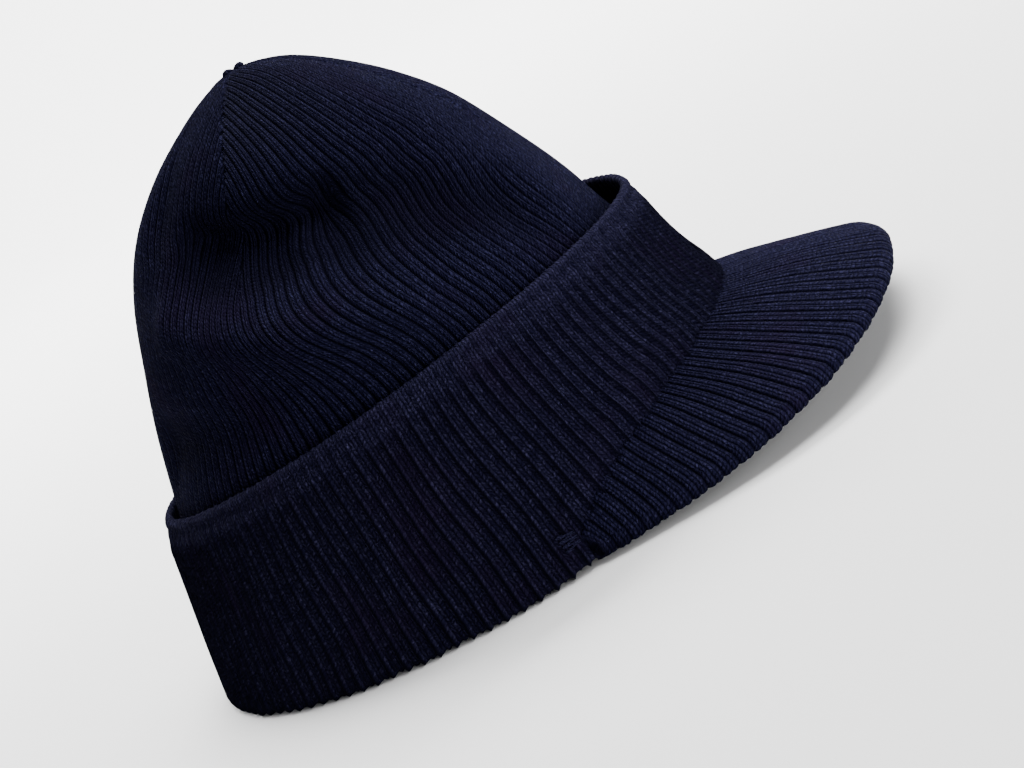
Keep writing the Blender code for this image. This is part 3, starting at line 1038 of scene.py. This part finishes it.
@dataclass
class Cuff:
    """The turned-up cuff, with its plain hem at the top and its fold at the rim.

    Attributes:
        form: The cap's sizes and form.
        visor: The visor, whose root the cuff rolls over.
        set_forward: How far the form is moved along Y to the frame.
        hem_ribs: Share of the ribs' relief that is left on the hem.
        hem_start: Range below the top, in hems, over which the ribs end.
        hem_taper: How much slimmer the hem is at its edge.
        taper_end: How far down it is slimmer, in hems.
        bead: Height of the bead along the hem's edge.
        bead_below: How far below the top the bead runs, and its half width.
        dip_below: The same for the dip under the bead.
        dip_share: Depth of the dip, as a share of the bead's height.
        top_ribs: Share of the relief on the top edge.
        inner_ribs: Share of the relief inside.
        inner_fade: How fast the relief inside ends at the fold.
        fold_start: How far round the fold the relief starts, as a share of a half turn.
        sway: How far the ribs sway, as an angle.
        sway_start: Height at which the sway is full.
        unevenness: Unevenness of the relief, as a share of the ribs'.
        roll: How far the cuff rolls out over the seam.
        roll_above: How far above the seam, and its half width.
        roll_front: Share of the roll at the front, where it is least.
        roll_sides: Range over which the roll grows, in shares of the visor's half angle.
        roll_ends: Range over which it ends.
        pinch: How far the thread pulls the cuff in at the visor's ends.
        pinch_half_width: Half width of the pinch.
        pinch_beside: How far past the visor's end the pinch is.
        pinch_height: Its height.
        pinch_stretch: Its width as a share of its height.
        rim_pinch: How far the rim is lifted at the visor's ends, in cloths.
        pinch_half_angle: Half angle of that lift.
        fuzz_and_edge_highlight: How strong the painted highlight, a light line along the edge, is.
        highlight_below: How far below the top that painted highlight runs, and its half width.
        outer_share: Share of the cloth's thickness that counts as its outer face.
    """

    form: CapForm
    visor: Visor
    set_forward: float
    columns_per_rib: int = 8
    wall_rows: int = 40
    hem_rows: int = 9
    roll_rows: int = 9
    fold_rows: int = 11
    inner_rows: int = 10
    hem_width: float = 0.0100
    hem_ribs: float = 0.35
    hem_start: Pair = (0.55, 1.05)
    hem_taper: float = 0.0011
    taper_end: float = 0.6
    bead: float = 0.0005
    bead_below: Pair = (0.0014, 0.0009)
    dip_below: Pair = (0.0036, 0.0010)
    dip_share: float = 0.5
    top_ribs: float = 0.25
    inner_ribs: float = 0.5
    inner_fade: float = 3.0
    fold_start: float = 0.75
    rib_relief: float = 0.0009
    unevenness: float = 0.25
    sway: float = 0.0035
    sway_start: float = 0.02
    roll: float = 0.0014
    roll_above: Pair = (0.0060, 0.0046)
    roll_front: float = 0.25
    roll_sides: Pair = (0.15, 0.65)
    roll_ends: Pair = (0.93, 1.06)
    pinch: float = 0.0020
    pinch_half_width: float = 0.0055
    pinch_beside: float = 0.002
    pinch_height: float = 0.007
    pinch_stretch: float = 0.7
    rim_pinch: float = 0.55
    pinch_half_angle: float = math.radians(5.0)
    fuzz_and_edge_highlight: float = 0.2
    highlight_below: Pair = (0.0006, 0.0011)
    outer_share: float = 0.7
    rib_sway: Slack = Slack(12, 21)
    uneven: Slack = Slack(40, 31)

    def cross_section(self) -> np.ndarray:
        """Lays out the rows once round the cloth: wall, hem, top edge, inside and fold.

        Returns:
            For each row the distance inwards, the height over a share of the top, that share,
            and the share of the ribs' relief.
        """
        cloth = self.form.cloth
        half = cloth / 2.0
        hem_width = self.hem_width
        share = np.linspace(0.0, 1.0, self.wall_rows)
        wall = join(0.0, cloth * (1.0 - share) - hem_width * share, share, 1.0)
        below = np.linspace(hem_width, half, self.hem_rows + 1)[1:]
        start, end = (hem_width * part for part in self.hem_start)
        ribbed = self.hem_ribs + (1.0 - self.hem_ribs) * smooth_step(start, end, below)
        dip = self.dip_share * bump(below, *self.dip_below)
        inwards = self.bead * (dip - bump(below, *self.bead_below))
        slim = 1.0 - smooth_step(0.0, self.taper_end * hem_width, below)
        inwards = inwards + self.hem_taper * slim
        hem = join(inwards, -below, 1.0, ribbed)
        turn = np.linspace(0.0, math.pi, self.roll_rows + 1)[1:]
        across = half - half * np.cos(turn) + inwards[-1] * (1.0 + np.cos(turn)) / 2.0
        top = join(across, half * np.sin(turn) - half, 1.0, self.top_ribs)
        share = np.linspace(1.0, 0.0, self.inner_rows + 1)[1:]
        rise = cloth * (1.0 - share) - half * share
        ribbed = self.inner_ribs * np.minimum(1.0, self.inner_fade * share)
        inside = join(cloth, rise, share, ribbed)
        reach = 2.0 * cloth + self.form.clearance
        ledge = np.array(((reach, cloth, 0.0, 0.0),))
        turn = np.linspace(math.pi, 0.0, self.fold_rows + 1)[1:]
        middle = reach / 2.0
        ribbed = smooth_step(math.pi, self.fold_start * math.pi, turn)
        fold = join(middle - middle * np.cos(turn), cloth - cloth * np.sin(turn), 0.0, ribbed)
        return np.concatenate((wall, hem, top, inside, ledge, fold))

    def pushed(self, off_front: np.ndarray, height: np.ndarray, inwards: np.ndarray) -> np.ndarray:
        """How far the seam and its end threads push the cuff's outer face out.

        Args:
            off_front: Angles from the front.
            height: Heights of the cuff's points.
            inwards: Their distances inwards.

        Returns:
            Distances outwards in metres.
        """
        half_angle = self.visor.half_angle
        outer = inwards < self.form.cloth / 2.0
        across = np.abs(off_front) / half_angle
        above = height - self.visor.root_height(off_front / half_angle)
        edge = (1.0 - smooth_step(*self.roll_ends, across)) * outer
        grown = smooth_step(*self.roll_sides, across)
        sideways = self.roll_front + (1.0 - self.roll_front) * grown
        push = self.roll * sideways * bump(above, *self.roll_above)
        for side in Side:
            off = (off_front - side.value * half_angle) * self.form.rim_half_width
            off = off - self.pinch_beside * side.value
            away = np.hypot(off, (height - self.pinch_height) * self.pinch_stretch)
            push = push - self.pinch * (bump(away, 0.0, self.pinch_half_width) * outer)
        return push * edge

    def build(self) -> bpy.types.Object:
        """Makes the cuff's cloth.

        Returns:
            The cloth, one closed band.
        """
        form = self.form
        count = form.panels * form.ribs_per_panel * self.columns_per_rib
        ribs = np.arange(count + 1) / self.columns_per_rib
        angle = ribs / ribs[-1] * TURN
        off_front = turned(angle)
        inwards, rise, share, ribbed = np.moveaxis(self.cross_section()[:, None], -1, 0)
        height = rise + share * form.cuff_top(angle)
        grown = smooth_step(0.0, self.sway_start, height)
        sway = self.sway * self.rib_sway.at(angle, height) * grown
        points = form.cuff_wall(height, angle + sway)
        outward = form.level_outward(height, angle + sway)
        points = points - outward * inwards[..., None]
        points = points + outward * self.pushed(off_front, height, inwards)[..., None]
        uneven = self.unevenness * self.uneven.at(angle, height)
        relief = self.rib_relief * ribbed * (rib_profile(ribs) + uneven)
        points = points + grid_normals(points, closed_columns=True) * relief[..., None]
        low = np.clip(1.0 - points[..., 2] / form.cloth, 0.0, 1.0)
        away = (np.abs(off_front) - self.visor.half_angle) / self.pinch_half_angle
        points[..., 2] += self.rim_pinch * form.cloth * low * bump(away, 0.0, 1.0)
        points[..., 2] = np.maximum(points[..., 2], 0.0)
        stitches = join(2.0 * ribs, run_lengths(points) / STITCH_LENGTH)
        points[..., 1] += self.set_forward
        points[-1] = points[0]
        # Painted highlight: a light line on the outside, just below the cuff's top edge.
        line = bump(form.cuff_top(angle) - height, *self.highlight_below)
        outside = inwards < self.outer_share * form.cloth
        masks = {
            Mask.RIB_DEPTH: ribbed + 0.0 * height,
            Mask.FUZZ_AND_EDGE_HIGHLIGHT: self.fuzz_and_edge_highlight * (line * outside),
        }
        return lay_cloth("cuff_knit", points, stitches, masks)


@dataclass
class Visor:
    """The short stiff visor in its knitted cover, sewn along an arch on the cuff.

    Attributes:
        form: The cap's sizes and form.
        set_forward: How far the form is moved along Y to the frame.
        half_angle: Angle of the visor's ends from the front.
        root_top: Height of the root's upper edge at the front.
        root_power: How full the root's arch is.
        reach: How far the edge is from the rim at the front.
        corner_power: How late the edge turns back to its ends.
        corner_rounding: How round it turns.
        spread: How far the edge is wider than the rim.
        edge_height: Height of the edge's upper side at the front.
        droop_power: How late the edge falls towards its ends.
        end_lift: How far the ends are above the floor.
        end_reach: How far they are from the rim.
        camber: How far the top is arched between root and edge.
        stand_off: How far the root stands off the cuff's face; below 0 it is sunk in it.
        tuck: Length of the rounded edge, as a share of the way out.
        edge_ribs: Share of the ribs' relief round the edge.
        under_ribs: Share of the relief underneath.
        root_ribs: Share of the relief in the seam.
        drift: How far the ribs drift, as a share of the half width.
        depth_scale: Rough way from root to edge in metres, for the unevenness.
        unevenness: Unevenness of the relief, as a share of the ribs'.
        floor_gap: Least height above the floor.
        painted_shade_depth: Range of depths over which painted shade darkens the turned edge.
        painted_shade_reach: Range of the way out over which that painted shade lies.
    """

    form: CapForm
    set_forward: float
    half_angle: float = math.radians(67.5)
    root_top: float = 0.0328
    root_power: float = 0.48
    reach: float = 0.0380
    corner_power: float = 7.4
    corner_rounding: float = 0.48
    spread: float = 0.0042
    edge_height: float = 0.0191
    droop_power: float = 1.65
    thickness: float = 0.0045
    end_lift: float = 0.0015
    end_reach: float = 0.0020
    camber: float = 0.0015
    stand_off: float = -0.0010
    tuck: float = 0.055
    rib_count: int = 54
    columns_per_rib: int = 12
    top_rows: int = 36
    edge_rows: int = 11
    under_rows: int = 22
    rib_relief: float = 0.0005
    edge_ribs: float = 0.8
    under_ribs: float = 0.6
    root_ribs: float = 0.2
    drift: float = 0.006
    depth_scale: float = 0.04
    unevenness: float = 0.25
    floor_gap: float = 0.0002
    painted_shade_depth: Pair = (0.20, 0.80)
    painted_shade_reach: Pair = (0.75, 0.95)
    rib_drift: Slack = Slack(7, 41)
    uneven: Slack = Slack(30, 51)

    def root_height(self, across: np.ndarray) -> np.ndarray:
        """Height of the root's upper edge.

        Args:
            across: Places from one end of the visor, -1, to the other, 1.

        Returns:
            Heights in metres.
        """
        end_height = self.thickness + self.end_lift
        inside = np.clip(1.0 - across**2, 0.0, 1.0)
        return end_height + (self.root_top - end_height) * inside**self.root_power

    def root(self, across: np.ndarray, depth: np.ndarray) -> np.ndarray:
        """Points of the visor's root on the cuff.

        Args:
            across: Places from one end of the visor to the other.
            depth: Depths under the upper side.

        Returns:
            The points, as x, y and z.
        """
        height = self.root_height(across) - depth
        angle = across * self.half_angle + 0.0 * height
        outward = self.form.level_outward(height, angle)
        return self.form.cuff_wall(height, angle) + outward * self.stand_off

    def edge(self, across: np.ndarray, depth: np.ndarray) -> np.ndarray:
        """Points of the visor's free edge.

        Args:
            across: Places from one end of the visor to the other.
            depth: Depths under the upper side.

        Returns:
            The points, as x, y and z.
        """
        form = self.form
        end_height = self.thickness + self.end_lift
        angle = across * self.half_angle
        x, y = form.oval(angle, form.rim_half_length, form.rim_half_width, form.rim_power)
        corner = (1.0 - np.abs(across) ** self.corner_power) ** self.corner_rounding
        reach = self.end_reach + (self.reach - self.end_reach) * corner
        x = x - self.spread * np.sin(math.pi * across)
        fall = 1.0 - np.abs(across) ** self.droop_power
        z = end_height + (self.edge_height - end_height) * fall - depth
        return join(x, y - reach, z)

    def cross_section(self) -> np.ndarray:
        """Lays out the rows once round the cover.

        Returns:
            For each row the share of the way from root to edge, the share of the depth, and the
            share of the ribs' relief.
        """
        tuck = self.tuck
        top = join(np.linspace(0.0, 1.0 - tuck, self.top_rows), 0.0, 1.0)
        turn = np.linspace(0.0, math.pi, self.edge_rows + 1)[1:]
        edge = join(1.0 - tuck + tuck * np.sin(turn), 0.5 - 0.5 * np.cos(turn), self.edge_ribs)
        back = np.linspace(1.0 - tuck, 0.0, self.under_rows + 1)[1:]
        under = join(back, 1.0, self.under_ribs)
        close = np.array(((0.0, 0.5, self.root_ribs), (0.0, 0.0, 1.0)))
        return np.concatenate((top, edge, under, close))

    def build(self) -> bpy.types.Object:
        """Makes the visor's cover.

        Returns:
            The cover, one closed pad.
        """
        ribs = np.arange(self.rib_count * self.columns_per_rib + 1) / self.columns_per_rib
        across = ribs / self.rib_count * 2.0 - 1.0
        out, deep, ribbed = np.moveaxis(self.cross_section()[:, None], -1, 0)
        depth = deep * self.thickness
        way = out * self.depth_scale
        around = across * math.pi
        drifted = across + self.drift * self.rib_drift.at(around, way) * (1.0 - across**2)
        root = self.root(drifted, depth)
        edge = self.edge(np.sin(math.pi / 2.0 * drifted), depth)
        points = root + (edge - root) * out[..., None]
        points[..., 2] += self.camber * (1.0 - across**2) * np.sin(math.pi * out)
        uneven = self.unevenness * self.uneven.at(around, way)
        relief = self.rib_relief * ribbed * (rib_profile(ribs) + uneven)
        points = points + grid_normals(points, closed_columns=False) * relief[..., None]
        points[..., 2] = np.maximum(points[..., 2], self.floor_gap)
        lengths = run_lengths(points)
        stitches = join(2.0 * ribs, lengths / STITCH_LENGTH)
        points[..., 1] += self.set_forward
        points[-1] = points[0]
        # Painted shade on the visor's turned edge and the underside near it.
        painted_edge_shade = smooth_step(*self.painted_shade_depth, deep) * smooth_step(*self.painted_shade_reach, out)
        masks = {
            Mask.RIB_DEPTH: ribbed + 0.0 * lengths,
            Mask.PAINTED_SHADE: painted_edge_shade + 0.0 * lengths,
        }
        return lay_cloth("visor_knit", points, stitches, masks)


@dataclass
class TipGather:
    """The two small pleated buds at the crown's tip, where its panels are drawn together.

    Attributes:
        form: The cap's sizes and form.
        set_forward: How far the form is moved along Y to the frame.
        sunk: How far a bud starts below the tip.
        apart: How far the buds are apart.
        lean: How far they lean away from each other, as a share of their height.
        pleats: Pleats round a bud.
        pleat_depth: Depth of the pleats, as a share of the radius.
        swell: How low a bud is widest; 1 is halfway up.
        fullness: How full it is; 1 is slim.
        stitches: Stitches from its foot to its top.
    """

    form: CapForm
    set_forward: float
    radius: float = 0.0016
    height: float = 0.0036
    sunk: float = 0.0021
    apart: float = 0.0024
    lean: float = 0.3
    pleats: int = 6
    pleat_depth: float = 0.2
    swell: float = 1.3
    fullness: float = 0.6
    stitches: float = 3.0
    rows: int = 13
    columns: int = 37

    def build(self, name: str, ahead: float) -> bpy.types.Object:
        """Makes one bud.

        Args:
            name: Name of the bud.
            ahead: 1 for the bud in front of the tip, and -1 for the one behind it.

        Returns:
            The bud.
        """
        tip = self.form.crown(np.array((TIP,)), np.array((0.0,)))[0]
        rise = np.linspace(0.0, 1.0, self.rows)[:, None]
        turn = np.linspace(0.0, TURN, self.columns)[None, :]
        pleat = 1.0 + self.pleat_depth * np.cos(self.pleats * turn)
        round_it = np.maximum(np.sin(math.pi * rise**self.swell), 0.0) ** self.fullness
        width = self.radius * round_it * pleat
        x = width * np.cos(turn)
        y = width * np.sin(turn) - ahead * (self.apart / 2.0 + self.lean * self.height * rise)
        points = tip + join(x, y, self.height * rise - self.sunk)
        points[..., 1] += self.set_forward
        stitches = join(self.pleats * turn / TURN, self.stitches * rise)
        return lay_cloth(name, points, stitches, {Mask.RIB_DEPTH: np.zeros(width.shape)})


@dataclass
class EndTack:
    """A thread sewn to and fro where an end of the visor meets the cuff.

    Attributes:
        form: The cap's sizes and form.
        half_angle: Angle of the visor's ends.
        set_forward: How far the form is moved along Y to the frame.
        lift: How far the thread's middle is off the cuff's face.
        beside: How far past the visor's end the thread is.
        width: How far it goes to and fro.
        lowest: Height of its lower end.
        rise: How far it climbs.
        crossings: How often it crosses.
        taper: How fast it thins at its two ends; more is faster.
        fuzz: How light and fuzzy it is.
    """

    form: CapForm
    half_angle: float
    set_forward: float
    radius: float = 0.0003
    lift: float = 0.0010
    beside: float = 0.0026
    width: float = 0.0048
    lowest: float = 0.0082
    rise: float = 0.0052
    crossings: int = 7
    samples: int = 57
    sides: int = 6
    taper: float = 6.0
    fuzz: float = 0.5

    def build(self, name: str, side: Side) -> bpy.types.Object:
        """Makes the thread at one end of the visor.

        Args:
            name: Name of the thread.
            side: Side of the cap that it is on.

        Returns:
            The thread.
        """
        form = self.form
        share = np.linspace(0.0, 1.0, self.samples)
        swing = np.arcsin(np.sin(math.pi * self.crossings * share)) * 2.0 / math.pi
        off = self.beside + swing * self.width / 2.0
        angle = side.value * (self.half_angle + off / form.rim_half_width)
        height = self.lowest + self.rise * share
        outward = form.level_outward(height, angle)
        middle = form.cuff_wall(height, angle) + outward * self.lift
        turn = np.linspace(0.0, TURN, self.sides + 1)
        thick = self.radius * np.minimum(1.0, self.taper * np.sin(math.pi * share))
        thick[[0, -1]] = 0.0
        spoke = np.cos(turn)[:, None] * outward[:, None]
        spoke = spoke + np.sin(turn)[:, None] * np.array((0.0, 0.0, 1.0))
        points = middle[:, None] + spoke * thick[:, None, None]
        points[..., 1] += self.set_forward
        twist = join(turn / TURN + self.fuzz, self.samples * share[:, None] + self.fuzz)
        shape = points.shape[:2]
        masks = {Mask.RIB_DEPTH: np.zeros(shape), Mask.FUZZ_AND_EDGE_HIGHLIGHT: np.full(shape, self.fuzz)}
        return lay_cloth(name, points, twist, masks)


class Lamp(NamedTuple):
    """A soft light: its direction from the cap along the camera's axes, and its size.

    The distance and the size are in metres, the power in watts.
    """

    name: str
    right: float
    up: float
    back: float
    distance: float
    size: float
    power: float


LAMPS = (
    Lamp("key_light", -0.20, 1.00, 0.20, 1.6, 1.1, 38.0),
    Lamp("fill_light", 0.60, 0.00, 1.00, 1.6, 1.1, 46.0),
    Lamp("side_light", 0.70, 0.50, 0.70, 1.6, 1.1, 18.0),
)


@dataclass
class Studio:
    """A pale floor that sweeps up behind, soft lights, and the camera.

    Attributes:
        form: The cap's sizes and form.
        set_forward: How far the form is moved along Y to the frame.
        azimuth: The camera's angle round the cap, in radians.
        elevation: Its angle above the floor.
        roll: Its turn about its own view.
        distance: Its distance from what it aims at.
        aside: How far to its right it aims from the middle of the cap.
        above: How far above it aims.
        middle_height: Height of the middle of the cap.
        clip: Nearest and furthest distance that it sees.
        sweep_radius: Radius of the floor's sweep.
        sweep_angle: How far round it goes.
        sweep_distance: How far behind the cap it starts.
        room_colour: Colour of the surroundings.
        room_strength: Strength of their light.
    """

    form: CapForm
    set_forward: float
    azimuth: float = -1.28717
    elevation: float = 0.231594
    roll: float = -0.580392
    distance: float = 0.685037
    aside: float = 0.033614
    above: float = -0.009769
    middle_height: float = 0.0625
    lens: float = 77.7
    sensor_width: float = 36.0
    clip: Pair = (0.01, 50.0)
    sweep_radius: float = 1.6
    sweep_angle: float = math.radians(80.0)
    sweep_steps: int = 24
    sweep_distance: float = 1.9
    floor_half_width: float = 4.5
    floor_colour: Colour = (0.90, 0.90, 0.90, 1.0)
    floor_roughness: float = 0.75
    floor_specular: float = 0.2
    sweep_light_distance: float = 1.5
    sweep_light_height: float = 1.9
    sweep_light_lean: float = 0.6
    sweep_light_size: float = 2.4
    sweep_light_power: float = 300.0
    room_colour: Colour = (0.95, 0.96, 1.0, 1.0)
    room_strength: float = 0.15

    def axes(self) -> tuple[Vector, Vector, Vector]:
        """Works out the camera's own axes.

        Returns:
            Its right, up and backward directions.
        """
        level = math.cos(self.elevation)
        back = Vector(
            (
                math.sin(self.azimuth) * level,
                -math.cos(self.azimuth) * level,
                math.sin(self.elevation),
            )
        )
        right = Vector((math.cos(self.azimuth), math.sin(self.azimuth), 0.0))
        up = back.cross(right)
        turned_right = right * math.cos(self.roll) + up * math.sin(self.roll)
        turned_up = up * math.cos(self.roll) - right * math.sin(self.roll)
        return turned_right, turned_up, back

    def away(self) -> Vector:
        """Level direction away from the camera."""
        _, _, back = self.axes()
        return Vector((-back.x, -back.y, 0.0)).normalized()

    def camera(self) -> bpy.types.Object:
        """Sets the camera at the photograph's angle to the cap.

        Returns:
            The camera.
        """
        right, up, back = self.axes()
        aim = Vector((0.0, self.set_forward, self.middle_height))
        aim = aim + right * self.aside + up * self.above
        data = bpy.data.cameras.new("camera")
        data.sensor_width = self.sensor_width
        data.lens = self.lens
        data.clip_start, data.clip_end = self.clip
        made = bpy.data.objects.new("camera", data)
        turn = Matrix((right, up, back)).transposed()
        made.matrix_world = Matrix.Translation(aim + back * self.distance) @ turn.to_4x4()
        bpy.context.collection.objects.link(made)
        bpy.context.scene.camera = made
        return made

    def floor(self) -> bpy.types.Object:
        """Makes the floor, with a soft sweep up behind the cap.

        Returns:
            The floor.
        """
        away = self.away()
        wide = Vector((away.y, -away.x, 0.0))
        sheet = bmesh.new()
        ends = [
            sheet.verts.new(wide * side * self.floor_half_width - away * self.floor_half_width)
            for side in (-1.0, 1.0)
        ]
        run = [sheet.edges.new(ends)]
        start = away * self.sweep_distance
        made = bmesh.ops.extrude_edge_only(sheet, edges=run)
        front = [item for item in made["geom"] if isinstance(item, bmesh.types.BMVert)]
        bmesh.ops.translate(sheet, verts=front, vec=start + away * self.floor_half_width)
        lip = [item for item in made["geom"] if isinstance(item, bmesh.types.BMEdge)]
        bmesh.ops.spin(
            sheet,
            geom=[edge for edge in lip if all(vertex in front for vertex in edge.verts)],
            cent=start + Vector((0.0, 0.0, self.sweep_radius)),
            axis=wide,
            angle=self.sweep_angle,
            steps=self.sweep_steps,
        )
        for face in sheet.faces:
            face.smooth = True
        mesh = bpy.data.meshes.new("floor")
        sheet.to_mesh(mesh)
        sheet.free()
        mesh.materials.append(self.floor_material())
        piece = bpy.data.objects.new("floor", mesh)
        bpy.context.collection.objects.link(piece)
        return piece

    def floor_material(self) -> bpy.types.Material:
        """Makes the floor's plain pale finish.

        Returns:
            The material.
        """
        made = bpy.data.materials.new("pale_floor")
        made.use_nodes = True
        shader = made.node_tree.nodes["Principled BSDF"]
        shader.inputs["Base Color"].default_value = self.floor_colour
        shader.inputs["Roughness"].default_value = self.floor_roughness
        shader.inputs["Specular IOR Level"].default_value = self.floor_specular
        return made

    def hang(self, name: str, place: Vector, facing: Vector, size: float, power: float) -> None:
        """Hangs one soft light.

        Args:
            name: Name of the light.
            place: Where the light hangs.
            facing: Direction that it shines in.
            size: Width of the light, in metres.
            power: Power of the light, in watts.
        """
        data = bpy.data.lights.new(name, "AREA")
        data.shape = "DISK"
        data.size = size
        data.energy = power
        made = bpy.data.objects.new(name, data)
        made.location = place
        made.rotation_mode = "QUATERNION"
        made.rotation_quaternion = facing.to_track_quat("-Z", "Y")
        bpy.context.collection.objects.link(made)

    def lights(self) -> None:
        """Hangs the lamps round the cap, and one that lights the sweep behind it."""
        right, up, back = self.axes()
        for lamp in LAMPS:
            towards = (right * lamp.right + up * lamp.up + back * lamp.back).normalized()
            place = towards * lamp.distance + Vector((0.0, 0.0, self.middle_height))
            self.hang(lamp.name, place, -towards, lamp.size, lamp.power)
        away = self.away()
        place = away * self.sweep_light_distance + Vector((0.0, 0.0, self.sweep_light_height))
        facing = away * self.sweep_light_lean - Vector((0.0, 0.0, 1.0))
        self.hang("sweep_light", place, facing, self.sweep_light_size, self.sweep_light_power)

    def build(self) -> None:
        """Sets up the floor, the lights, the pale surroundings and the camera."""
        self.floor()
        self.lights()
        world = bpy.data.worlds.new("pale_room")
        world.use_nodes = True
        background = world.node_tree.nodes["Background"]
        background.inputs["Color"].default_value = self.room_colour
        background.inputs["Strength"].default_value = self.room_strength
        bpy.context.scene.world = world
        self.camera()


# Each deep colour is painted shade; each lighter top colour is partly fuzz, partly painted
# highlight.
FINISHES = (
    KnitFinish(
        slot="crown_knit",
        deep=(0.0009, 0.0008, 0.0034, 1.0),
        yarn=(0.0038, 0.0037, 0.0136, 1.0),
        bloom_and_highlight=(0.0265, 0.0265, 0.0710, 1.0),
        seed=0.0,
    ),
    KnitFinish(
        slot="cuff_knit",
        deep=(0.0009, 0.0008, 0.0032, 1.0),
        yarn=(0.0040, 0.0037, 0.0128, 1.0),
        bloom_and_highlight=(0.0310, 0.0290, 0.0690, 1.0),
        seed=3.0,
    ),
    KnitFinish(
        slot="visor_knit",
        deep=(0.0010, 0.0009, 0.0036, 1.0),
        yarn=(0.0044, 0.0042, 0.0148, 1.0),
        bloom_and_highlight=(0.0260, 0.0252, 0.0655, 1.0),
        seed=7.0,
    ),
)


def dress(piece: bpy.types.Object, material: bpy.types.Material) -> bpy.types.Object:
    """Gives a piece its finish and its place in the frame, and reports it.

    Args:
        piece: The new piece.
        material: Its material.

    Returns:
        The same piece.
    """
    piece.data.materials.append(material)
    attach(piece, BODY)
    LOG.info("%s: %d faces", piece.name, len(piece.data.polygons))
    return piece


def main() -> None:
    """Builds the cap's cloth, then the studio."""
    logging.basicConfig(level=logging.INFO, format="%(name)s %(message)s")
    form = CapForm()
    visor_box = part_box("visor")
    visor = Visor(form, 0.0)
    shift = visor_box[0][1] + form.rim_half_length + visor.reach
    visor.set_forward = shift
    loops = KnitLoops().group()
    knits = {finish.slot: finish.material(loops) for finish in FINISHES}
    crown = dress(Crown(form, shift).build(), knits["crown_knit"])
    cuff = dress(Cuff(form, visor, shift).build(), knits["cuff_knit"])
    peak = dress(visor.build(), knits["visor_knit"])
    gather = TipGather(form, shift)
    buds = [
        dress(gather.build(name, ahead), knits["crown_knit"])
        for name, ahead in (("front_bud", 1.0), ("back_bud", -1.0))
    ]
    tack = EndTack(form, visor.half_angle, shift)
    tacks = [
        dress(tack.build(f"{side.name.lower()}_tack", side), knits["visor_knit"])
        for side in Side
    ]
    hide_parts("crown")
    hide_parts("cuff")
    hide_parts("visor")
    Studio(form, shift).build()


if __name__ == "__main__":
    main()
